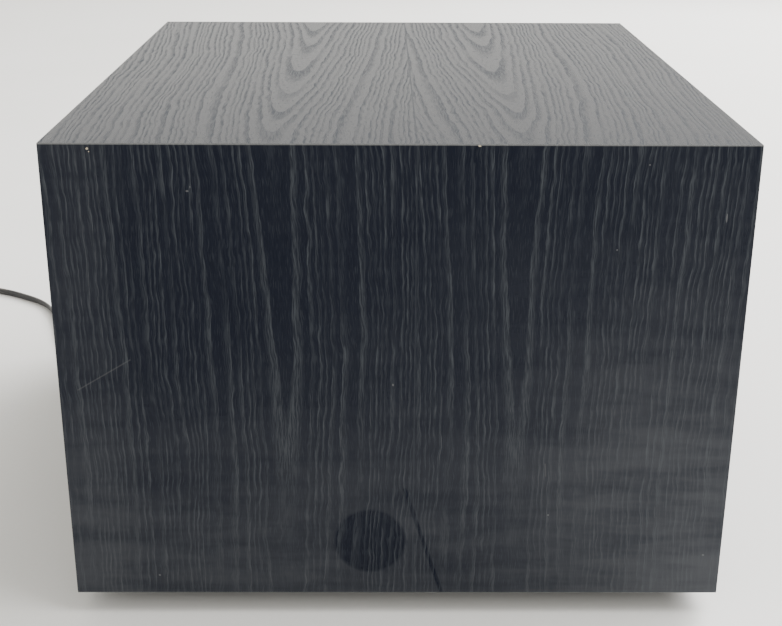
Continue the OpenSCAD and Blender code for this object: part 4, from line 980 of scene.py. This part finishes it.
def mesh_from(name, points, faces, smooth=True):
    mesh = bpy.data.meshes.new(name)
    mesh.from_pydata(points, [], faces)
    mesh.validate()
    solid = bmesh.new()
    solid.from_mesh(mesh)
    bmesh.ops.recalc_face_normals(solid, faces=solid.faces)
    solid.to_mesh(mesh)
    solid.free()
    mesh.polygons.foreach_set("use_smooth", [smooth] * len(mesh.polygons))
    return mesh


def joined_rings(rings, closed=False, caps=True):
    """Points and faces of a skin over rings that all have the same number of points."""
    count = len(rings[0])
    points = [point for ring in rings for point in ring]
    faces = []
    last = len(rings) if closed else len(rings) - 1
    for i in range(last):
        here = i * count
        there = (i + 1) % len(rings) * count
        for k in range(count):
            after = (k + 1) % count
            faces.append((here + k, here + after, there + after, there + k))
    if caps and not closed:
        faces.append(tuple(range(count))[::-1])
        faces.append(tuple((len(rings) - 1) * count + k for k in range(count)))
    return points, faces


def turned(outline, centre, steps=96):
    """A shape turned round the woofer's axis, from a closed outline of (radius, depth) points."""
    rings = []
    for i in range(steps):
        angle = math.tau * i / steps
        rings.append([
            Vector((
                centre.x + radius * math.cos(angle),
                centre.y + depth,
                centre.z + radius * math.sin(angle),
            ))
            for radius, depth in outline
        ])
    return joined_rings(rings, closed=True)


def ring_across(line, i, outline):
    """An outline of (across, up) offsets, set square to a line at its point i."""
    ahead = (line[min(i + 1, len(line) - 1)] - line[max(i - 1, 0)]).normalized()
    level = Vector((0, 0, 1)).cross(ahead).normalized()
    over = ahead.cross(level)
    return [line[i] + level * across + over * up for across, up in outline]


def curve_through(points, step):
    """Points about a step apart on a smooth curve through the given points."""
    fine = []
    last = len(points) - 1
    for i in range(last):
        before = points[max(i - 1, 0)]
        start = points[i]
        end = points[i + 1]
        after = points[min(i + 2, last)]
        count = max(2, round((end - start).length / step))
        for k in range(count):
            t = k / count
            fine.append(0.5 * (
                2 * start
                + (end - before) * t
                + (2 * before - 5 * start + 4 * end - after) * t ** 2
                + (3 * start - before - 3 * end + after) * t ** 3
            ))
    fine.append(points[-1])
    return fine


# ---- Mains cord ----

CORD_WIDE = 6.2 * MM
CORD_THICK = 3.3 * MM
CORD_ROUTE = (
    (98, 199.75, 76.5), (98, 207, 76.5), (98, 215, 75), (99, 223, 70), (100, 230, 60),
    (102, 237, 46), (105, 243, 32), (109, 249, 20), (115, 254, 11), (123, 259, 5),
    (134, 264, 2.5), (148, 269, 2), (170, 277, 2.2), (195, 286, 2.4), (220, 295, 2.6),
    (245, 303, 2.8), (270, 312, 3), (293, 323, 3.1), (310, 337, 3.2), (324, 355, 3.2),
    (335, 372, 3.2), (343, 389, 3.2), (348, 405, 3.2), (350, 418, 3.2), (350, 423, 3.2),
)
TWIST_FROM = 10
TWIST_TO = 21
COIL_LEAD = 24 * MM
COIL_LANES = (38.45 * MM, 35.05 * MM, 31.65 * MM)
COIL_LOW = 3.2 * MM
COIL_HIGH = 9.45 * MM
# (turned so far in degrees, lane, height) where the cord starts or ends a change of lane or layer
COIL_STAGES = (
    (0, 0, COIL_LOW), (260, 0, COIL_LOW), (360, 1, COIL_LOW), (620, 1, COIL_LOW),
    (720, 2, COIL_LOW), (920, 2, COIL_LOW), (1000, 2, COIL_HIGH), (1180, 2, COIL_HIGH),
    (1280, 1, COIL_HIGH), (1540, 1, COIL_HIGH), (1640, 0, COIL_HIGH), (1800, 0, COIL_HIGH),
)
PLUG_TAIL_Z = 7.5 * MM
CORD_STEP = 4 * MM


def smooth_share(value):
    value = min(1.0, max(0.0, value))
    return value * value * (3 - 2 * value)


def coil_points(start):
    """The turns of the coil, from its outer lane inwards below and outwards again above."""
    centre = Vector((start.x - COIL_LANES[0], start.y, 0))
    points = []
    for here, there in zip(COIL_STAGES, COIL_STAGES[1:]):
        count = max(2, round(math.radians(there[0] - here[0]) * COIL_LANES[1] / CORD_STEP))
        for i in range(count):
            share = smooth_share(i / count)
            angle = math.radians(here[0] + (there[0] - here[0]) * i / count)
            radius = COIL_LANES[here[1]] + (COIL_LANES[there[1]] - COIL_LANES[here[1]]) * share
            height = here[2] + (there[2] - here[2]) * share
            outward = Vector((radius * math.cos(angle), radius * math.sin(angle), height))
            points.append(centre + outward)
    return points


def cord_line():
    """The cord's whole middle line, and how far it has turned on edge at each point."""
    route = [Vector(point) * MM for point in CORD_ROUTE]
    loose = curve_through(route, CORD_STEP)
    turning = [(route[i] - route[i - 1]).length for i in range(1, len(route))]
    twist_start = sum(turning[:TWIST_FROM])
    twist_length = sum(turning[TWIST_FROM:TWIST_TO])
    coil_start = route[-1] + Vector((0, COIL_LEAD, 0))
    lead_in = [route[-1].lerp(coil_start, i / 6) for i in range(1, 6)]
    turns = coil_points(coil_start)
    leave = Vector((coil_start.x, coil_start.y, COIL_HIGH))
    plug_at = Vector((coil_start.x, coil_start.y + COIL_LEAD, PLUG_TAIL_Z))
    lead_out = []
    for i in range(7):
        point = leave.lerp(plug_at, i / 6)
        point.z = leave.z + (plug_at.z - leave.z) * smooth_share(i / 6)
        lead_out.append(point)
    line = loose + lead_in + turns + lead_out
    edges = []
    gone = 0.0
    for i, point in enumerate(line):
        gone += (point - line[i - 1]).length if i else 0.0
        edges.append(min(1.0, max(0.0, (gone - twist_start) / twist_length)))
    return line, edges, plug_at


def twin_section():
    """Half the cord's section: two round lobes side by side with a groove between them."""
    lobe = CORD_THICK / 2
    apart = CORD_WIDE / 2 - lobe
    groove = 40
    outline = []
    for side in (1, -1):
        first = groove - 180 if side == 1 else groove
        sweep = 360 - 2 * groove
        for i in range(10):
            angle = math.radians(first + sweep * i / 9)
            outline.append((side * apart + lobe * math.cos(angle), lobe * math.sin(angle)))
    return outline


def make_cord():
    line, edges, plug_at = cord_line()
    section = twin_section()
    rings = []
    for i, edge in enumerate(edges):
        wide = Vector((math.cos(math.pi / 2 * edge), math.sin(math.pi / 2 * edge)))
        outline = [
            (across * wide.x - up * wide.y, across * wide.y + up * wide.x) for across, up in section
        ]
        rings.append(ring_across(line, i, outline))
    mesh = mesh_from("mains_cord_twin", *joined_rings(rings))
    cord = add_piece("mains_cord_twin", mesh, "cord_sleeve")
    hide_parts("mains_cord", "cord_coil")
    return cord, line, plug_at


# distance from the cord's end, half width, half height and squareness, all along the plug
PLUG_SECTIONS = (
    (0.0, 3.1, 3.1, 2.0), (1.6, 3.9, 3.9, 2.0), (3.2, 3.9, 3.9, 2.0), (3.5, 3.2, 3.2, 2.0),
    (4.4, 3.2, 3.2, 2.0), (4.8, 4.7, 4.6, 2.0), (7.2, 4.8, 4.7, 2.0), (7.5, 3.6, 3.6, 2.0),
    (8.4, 3.6, 3.6, 2.0), (8.8, 5.4, 5.2, 2.0), (11.2, 5.6, 5.4, 2.0), (11.5, 4.2, 4.2, 2.0),
    (12.4, 4.2, 4.2, 2.0), (12.8, 6.0, 5.8, 2.2), (15.6, 6.6, 6.3, 2.4), (18.0, 8.4, 6.8, 2.8),
    (21.0, 10.2, 7.2, 3.4), (25.0, 11.2, 7.4, 4.0), (30.0, 10.6, 7.3, 4.0), (36.0, 10.9, 7.4, 4.0),
    (41.0, 11.9, 7.5, 4.4), (45.0, 12.0, 7.5, 4.6), (45.8, 11.8, 7.3, 4.6), (46.0, 11.2, 6.8, 4.6),
)
PLUG_REACH = 46 * MM


def make_plug(at):
    """A moulded plug body, lofted from the cord's end to the face that the blades stand in."""
    count = 40
    rings = []
    for distance, half_x, half_z, square in PLUG_SECTIONS:
        ring = []
        for k in range(count):
            angle = math.tau * k / count
            across = math.copysign(abs(math.cos(angle)) ** (2 / square), math.cos(angle))
            up = math.copysign(abs(math.sin(angle)) ** (2 / square), math.sin(angle))
            ring.append(at + Vector((half_x * across, distance, half_z * up)) * MM)
        rings.append(ring)
    points, faces = joined_rings(rings)
    plug = add_piece("plug_body", mesh_from("plug_body", points, faces), "black_plastic")
    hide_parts("mains_plug")
    return plug


def flat_outline(outlines, thickness, name):
    """A flat plate standing across X, from closed outlines of (y, z) points, holes among them."""
    curve = bpy.data.curves.new(name, "CURVE")
    curve.dimensions = "2D"
    curve.fill_mode = "BOTH"
    curve.extrude = thickness / 2
    for outline in outlines:
        spline = curve.splines.new("POLY")
        spline.points.add(len(outline) - 1)
        for point, (along, up) in zip(spline.points, outline):
            point.co = (along, up, 0, 1)
        spline.use_cyclic_u = True
    holder = bpy.data.objects.new(name, curve)
    mesh = bpy.data.meshes.new_from_object(holder)
    bpy.data.objects.remove(holder)
    for vertex in mesh.vertices:
        along, up, across = vertex.co
        vertex.co = (across, along, up)
    return mesh


def round_points(centre, radius, count, start=0.0, sweep=math.tau, closed=True):
    steps = count if closed else count - 1
    return [
        (
            centre[0] + radius * math.cos(start + sweep * i / steps),
            centre[1] + radius * math.sin(start + sweep * i / steps),
        )
        for i in range(count)
    ]


BLADE_LENGTH = 17 * MM
BLADE_ROOT = 1 * MM
BLADE_HEIGHT = 6.35 * MM
BLADE_THICK = 1.5 * MM
BLADE_ASIDE = 6.35 * MM
BLADE_CORNER = 2.2 * MM
HOLE_INSET = 4.6 * MM
HOLE_RADIUS = 1.6 * MM


def make_blades(at):
    """Two flat blades with rounded ends, each with a hole near its tip."""
    tip = BLADE_LENGTH - BLADE_CORNER
    half = BLADE_HEIGHT / 2 - BLADE_CORNER
    quarter = math.pi / 2
    outline = [(-BLADE_ROOT, -BLADE_HEIGHT / 2)]
    outline += round_points((tip, -half), BLADE_CORNER, 7, -quarter, quarter, closed=False)
    outline += round_points((tip, half), BLADE_CORNER, 7, 0, quarter, closed=False)
    outline += [(-BLADE_ROOT, BLADE_HEIGHT / 2)]
    hole = round_points((BLADE_LENGTH - HOLE_INSET, 0), HOLE_RADIUS, 20)
    blades = []
    for side, name in ((-1, "plug_blade_left"), (1, "plug_blade_right")):
        mesh = flat_outline([outline, hole], BLADE_THICK, name)
        for vertex in mesh.vertices:
            vertex.co += at + Vector((side * BLADE_ASIDE, PLUG_REACH, 0))
        blades.append(add_piece(name, mesh, "gold_plate"))
    return blades


cord, cord_path, plug_at = make_cord()
plug = make_plug(plug_at)
blades = make_blades(plug_at)
tuple(cord_path[0])
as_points(cord_path)


# ---- Tubes ----


LOBE_SHARE = 0.16


def tube(name, line, radius_at, sides=14, lobes=0, pitch=1.0):
    """A tube along a line, with its radius from the distance gone. Lobes twist round it."""
    rings = []
    gone = 0.0
    for i, point in enumerate(line):
        gone += (point - line[i - 1]).length if i else 0.0
        radius = radius_at(gone)
        outline = []
        for k in range(sides):
            angle = math.tau * k / sides
            twist = lobes * angle + math.tau * gone / pitch
            lobe = (1 + LOBE_SHARE * math.cos(twist)) / (1 + LOBE_SHARE) if lobes else 1.0
            reach = radius * lobe
            outline.append((reach * math.cos(angle), reach * math.sin(angle)))
        rings.append(ring_across(line, i, outline))
    return mesh_from(name, *joined_rings(rings))


# ---- Woofer's moving soft parts ----

CONE_EDGE = 74 * MM
ROLL_MIDDLE = 82 * MM
ROLL_RADIUS = 8 * MM
RUBBER = 1 * MM
LIP_FRONT = 1.8 * MM
RIM_INNER = 70.5 * MM
LIP_OUTER = 94.5 * MM
SPIDER_INNER = 19.35 * MM
SPIDER_OUTER = 50 * MM
SPIDER_EDGE = 57 * MM
SPIDER_DEPTH = 49.4 * MM
SPIDER_THICK = 0.6 * MM
SPIDER_WAVE = 1.2 * MM
SPIDER_WAVES = 5
woofer_centre = Vector((woofer_x, baffle_y, woofer_z))


def bend_with_cone(piece, still_radius, moving_radius):
    """Lets a piece follow the cone fully inside one radius and not at all outside another."""
    behind = woofer_centre + Vector((0, 1, 0))
    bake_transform(piece, "root", "cone", start=tuple(woofer_centre), end=tuple(behind))
    weights = piece.data.attributes["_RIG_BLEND"].data
    for vertex, weight in zip(piece.data.vertices, weights):
        radius = math.hypot(vertex.co.x - woofer_centre.x, vertex.co.z - woofer_centre.z)
        weight.value = smooth_share((still_radius - radius) / (still_radius - moving_radius))


def roll_arc(radius, first, last, steps=18):
    """Points of (radius, depth) on the half roll, between two angles in degrees."""
    points = []
    for i in range(steps + 1):
        angle = math.radians(first + (last - first) * i / steps)
        points.append((
            ROLL_MIDDLE + radius * math.cos(angle),
            LIP_FRONT + RUBBER + radius * math.sin(angle),
        ))
    return points


def make_surround():
    """A half roll of rubber, glued to the cone's rim inside and to the basket outside."""
    bead = 0.35 * MM
    outline = [(RIM_INNER, LIP_FRONT), (CONE_EDGE - 1.2 * MM, LIP_FRONT)]
    outline += roll_arc(ROLL_RADIUS, 187.5, 352.5)
    outline += [
        (ROLL_MIDDLE + ROLL_RADIUS + 1.2 * MM, LIP_FRONT), (LIP_OUTER - 1.6 * MM, LIP_FRONT),
        (LIP_OUTER - 1.1 * MM, LIP_FRONT - bead), (LIP_OUTER - 0.5 * MM, LIP_FRONT - bead),
        (LIP_OUTER, LIP_FRONT), (LIP_OUTER, LIP_FRONT + RUBBER),
    ]
    outline += roll_arc(ROLL_RADIUS - RUBBER, 360, 180)
    outline += [(RIM_INNER, LIP_FRONT + RUBBER)]
    mesh = mesh_from("surround_roll", *turned(outline, woofer_centre, 144))
    surround = add_piece("surround_roll", mesh, "surround_rubber", body=None)
    bend_with_cone(surround, ROLL_MIDDLE + ROLL_RADIUS, CONE_EDGE)
    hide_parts("woofer_surround")


def make_spider():
    """A pressed cloth disc in round waves, which keeps the voice coil centred."""
    steps = 60
    low = []
    for i in range(steps + 1):
        share = i / steps
        wave = SPIDER_WAVE * math.sin(math.tau * SPIDER_WAVES * share)
        low.append((SPIDER_INNER + (SPIDER_OUTER - SPIDER_INNER) * share, SPIDER_DEPTH + wave))
    low.append((SPIDER_EDGE, SPIDER_DEPTH))
    outline = low + [(radius, depth + SPIDER_THICK) for radius, depth in reversed(low)]
    mesh = mesh_from("spider_disc", *turned(outline, woofer_centre, 120))
    spider = add_piece("spider_disc", mesh, "spider_cloth", body=None)
    bend_with_cone(spider, SPIDER_OUTER - 1 * MM, SPIDER_INNER + 1 * MM)
    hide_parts("spider")


# (aside, from the woofer's axis, depth), in mm, from the cone to the terminals
LEAD_ROUTE = (
    (4, 31, 39.0), (4.5, 34, 41.3), (5, 43, 43.5), (5.5, 50, 40), (6, 58, 38), (6, 66, 38),
    (6, 73, 41), (6, 76, 46), (6, 76.4, 52),
)
LEAD_RADIUS = 0.8 * MM
LEAD_TWIST = 5 * MM
LEAD_STILL = 66 * MM
LEAD_MOVING = 34 * MM


def make_leads():
    """Two braids of fine copper, which bend between the moving cone and the still terminals."""
    leads = []
    for side, name in ((-1, "lead_braid_left"), (1, "lead_braid_right")):
        route = [
            woofer_centre + Vector((side * aside, depth, radius)) * MM
            for aside, radius, depth in LEAD_ROUTE
        ]
        line = curve_through(route, 0.7 * MM)
        mesh = tube(name, line, lambda gone: LEAD_RADIUS, sides=12, lobes=3, pitch=LEAD_TWIST)
        lead = add_piece(name, mesh, "copper_wire", body=None)
        bend_with_cone(lead, LEAD_STILL, LEAD_MOVING)
        leads.append(lead)
    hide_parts("tinsel_leads")
    return leads


make_surround()
make_spider()
make_leads()


# ---- Grille cloth ----

CLOTH_CORNER = 2 * MM
CORNER_STEPS = 6
SIDE_STEPS = 24
# (inset from the grille's edge, depth behind its face), in mm, from the lip's end to the middle
CLOTH_OUTSIDE = (
    (5.8, 16.6), (3.4, 16.6), (1.3, 16.6), (0.4, 16.2), (0, 15.3), (0, 8), (0, 1.5), (0.12, 0.9),
    (0.45, 0.42), (1.0, 0.1), (1.6, 0), (4, 0), (9, 0), (16.8, 0), (20, 0.14), (26, 0.3),
    (36, 0.4), (50, 0.45), (70, 0.45), (90, 0.45), (105, 0.45), (113, 0.45),
)
CLOTH_INSIDE = (
    (5.8, 15.8), (3.4, 15.8), (1.7, 15.8), (1.0, 15.6), (0.8, 15.1), (0.8, 8), (0.8, 1.7),
    (0.86, 1.3), (1.0, 1.02), (1.3, 0.86), (1.9, 0.8), (4, 0.8), (9, 0.8), (16.8, 0.8), (20, 0.94),
    (26, 1.1), (36, 1.2), (50, 1.25), (70, 1.25), (90, 1.25), (105, 1.25), (113, 1.25),
)


def cloth_ring(inset, depth, low, high):
    """Points round the grille, at an inset from its edge, with its corners rounded."""
    corner = max(CLOTH_CORNER - inset, 0.3 * MM)
    middle_x = (low.x + high.x) / 2
    middle_z = (low.z + high.z) / 2
    reach_x = (high.x - low.x) / 2 - inset - corner
    reach_z = (high.z - low.z) / 2 - inset - corner
    ring = []
    starts = []
    for quarter, (side_x, side_z) in enumerate(((1, 1), (-1, 1), (-1, -1), (1, -1))):
        arc = []
        for k in range(CORNER_STEPS + 1):
            angle = math.pi / 2 * (quarter + k / CORNER_STEPS)
            arc.append(Vector((
                middle_x + side_x * reach_x + corner * math.cos(angle),
                low.y + depth,
                middle_z + side_z * reach_z + corner * math.sin(angle),
            )))
        starts.append(arc)
    for quarter, arc in enumerate(starts):
        following = starts[(quarter + 1) % 4][0]
        ring += arc
        ring += [arc[-1].lerp(following, k / SIDE_STEPS) for k in range(1, SIDE_STEPS)]
    return ring


def make_grille_cloth():
    """Knitted cloth stretched over the frame, its edge glued round to the back."""
    low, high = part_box("grille_cloth")
    outside = [cloth_ring(inset * MM, depth * MM, low, high) for inset, depth in CLOTH_OUTSIDE]
    inside = [cloth_ring(inset * MM, depth * MM, low, high) for inset, depth in CLOTH_INSIDE]
    for ring in (outside[0], inside[0]):
        for point in ring:
            uneven = 0.5 * MM * noise.noise(point * 130)
            inward = Vector(((low.x + high.x) / 2 - point.x, 0, (low.z + high.z) / 2 - point.z))
            point += inward.normalized() * uneven
    mesh = mesh_from("grille_knit", *joined_rings(inside[::-1] + outside))
    cloth = add_piece("grille_knit", mesh, "grille_fabric", body="grille")
    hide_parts("grille_cloth")


make_grille_cloth()


# ---- Wadding ----

BATT_THICK = 18 * MM
BATT_BEND = 26 * MM
BATT_STEP = 10 * MM
BATT_LUMPS = 2.6 * MM


def batt_path(low, high):
    """The batt's outer line down one side, over the floor and up the other, and the way in."""
    path = []
    for side in (-1, 1):
        edge = low.x if side < 0 else high.x
        centre = Vector((edge - side * BATT_BEND, 0, low.z + BATT_BEND))
        top = high.z - 1 * MM
        count = round((top - centre.z) / BATT_STEP)
        wall = [
            (Vector((edge, 0, top + (centre.z - top) * i / count)), Vector((-side, 0, 0)))
            for i in range(count)
        ]
        bend = []
        for i in range(7):
            angle = math.radians(15 * i)
            outward = Vector((side * math.cos(angle), 0, -math.sin(angle)))
            bend.append((centre + outward * BATT_BEND, -outward))
        half = wall + bend
        path = half if side < 0 else path + floor_line(path[-1][0], half[-1][0]) + half[::-1]
    return path


def floor_line(start, end):
    count = round((end - start).length / BATT_STEP)
    return [(start.lerp(end, i / count), Vector((0, 0, 1))) for i in range(1, count)]


def make_wadding():
    """A loose fibre batt that lines the box's floor and sides."""
    low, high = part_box("wadding")
    path = batt_path(low, high)
    count = round((high.y - low.y) / BATT_STEP)
    rings = []
    for i in range(count + 1):
        y = low.y + (high.y - low.y) * i / count
        outer = []
        inner = []
        edge = min(i, count - i, 2) / 2
        for k, (point, inward) in enumerate(path):
            end = min(k, len(path) - 1 - k, 2) / 2
            full = 0.55 + 0.45 * math.sqrt(min(edge, end))
            place = Vector((point.x, y, point.z))
            slack = 0.6 * MM * (1 + noise.noise(place * 40))
            lump = BATT_LUMPS * (noise.noise(place * 22) + 0.5 * noise.noise(place * 70) - 0.6)
            thin = (1 - full) * BATT_THICK / 2
            outer.append(place + inward * (slack + thin))
            inner.append(place + inward * (BATT_THICK - thin + min(0.0, lump)))
        rings.append(outer + inner[::-1])
    points, faces = joined_rings(rings, caps=False)
    width = len(path)
    for start in (0, count * 2 * width):
        for k in range(width - 1):
            across = start + 2 * width - 1 - k
            faces.append((start + k, start + k + 1, across - 1, across))
    batt = add_piece("wadding_batt", mesh_from("wadding_batt", points, faces), "wadding_fibre")
    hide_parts("wadding")


make_wadding()


# ---- Wires to the woofer ----

WIRE_RADIUS = 1.2 * MM
CRIMP_RADIUS = 2.1 * MM
CRIMP_LENGTH = 9 * MM
CRIMP_TAPER = 2 * MM
# name, material slot, place of the lug and of the board along X in mm
WIRE_STARTS = (("wire_red", "wire_sleeve", -83.5, -16), ("wire_black", "cord_sleeve", -71.5, -8))


def wire_route(lug_x, board_x):
    """From a lug of the woofer, over the box's inside and down to the power board, in mm."""
    return (
        (lug_x, -116.15, 224.7), (lug_x, -103.15, 225.1), (lug_x + 2, -80.15, 229.1),
        (lug_x + 12, -53.15, 231.1), (lug_x + 26, -25.15, 225.1), (board_x - 6, 89.65, 217.1),
        (board_x, 114.65, 205.1), (board_x, 126.65, 201.1), (board_x, 134.65, 201.1),
    )


def wire_radius(gone):
    """The radius of a wire with a crimp at its start."""
    narrowed = smooth_share((gone - CRIMP_LENGTH) / CRIMP_TAPER)
    return CRIMP_RADIUS - (CRIMP_RADIUS - WIRE_RADIUS) * narrowed


def make_wires():
    for name, slot_name, lug_x, board_x in WIRE_STARTS:
        route = [Vector(point) * MM for point in wire_route(lug_x, board_x)]
        mesh = tube(name, curve_through(route, 2 * MM), wire_radius)
        add_piece(name, mesh, slot_name)
    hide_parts("woofer_wires")


make_wires()


# ---- Studio ----


def paper(tree):
    base = mottle(tree, "paper")
    return {"Base Color": base["Colour"], "Roughness": base["Roughness"]}


FLOOR_REACH = 9.0
SKY_TONE = (1.0, 0.98, 0.92, 1.0)
SKY_STRENGTH = 0.94
# place, aim, size, watts and colour
LIGHTS = {
    "overhead": ((-0.1, -1.5, 2.3), (0.3, -0.6, 0.0), (2.2, 2.2), 96.0, (1.0, 1.0, 1.0)),
    "right_glow": ((2.2, -2.4, 2.2), (1.6, -1.0, 0.0), (2.0, 2.0), 290.0, (1.0, 1.0, 1.0)),
    "front_fill": ((-2.4, 0.3, 1.5), (-0.2, 0.0, 0.1), (3.0, 1.6), 26.0, (1.0, 0.99, 0.95)),
    "far_panel": ((2.6, -0.3, 1.35), (0.0, 0.0, 1.0), (5.0, 2.3), 31.0, (1.0, 0.985, 0.93)),
}


def make_floor():
    """A plain pale floor that runs out of sight."""
    corners = [
        (FLOOR_REACH * x, FLOOR_REACH * y, 0) for x, y in ((-1, -1), (1, -1), (1, 1), (-1, 1))
    ]
    mesh = mesh_from("studio_floor", corners, [(0, 1, 2, 3)], smooth=False)

    mesh.materials.append(make_material("studio_paper", paper))
    floor = bpy.data.objects.new("studio_floor", mesh)
    bpy.context.scene.collection.objects.link(floor)


def make_light(name, place, aim, size, power, tone):
    lamp = bpy.data.lights.new(name, "AREA")
    lamp.shape = "RECTANGLE"
    lamp.size = size[0]
    lamp.size_y = size[1]
    lamp.energy = power
    lamp.color = tone
    light = bpy.data.objects.new(name, lamp)
    light.location = place
    direction = Vector(aim) - Vector(place)
    light.rotation_mode = "QUATERNION"
    light.rotation_quaternion = direction.to_track_quat("-Z", "Y")
    light.visible_camera = False
    bpy.context.scene.collection.objects.link(light)


def make_world():
    world = bpy.data.worlds.new("studio")
    world.use_nodes = True
    background = world.node_tree.nodes["Background"]
    background.inputs["Color"].default_value = SKY_TONE
    background.inputs["Strength"].default_value = SKY_STRENGTH
    bpy.context.scene.world = world


make_floor()
make_world()
for name, settings in LIGHTS.items():
    make_light(name, *settings)
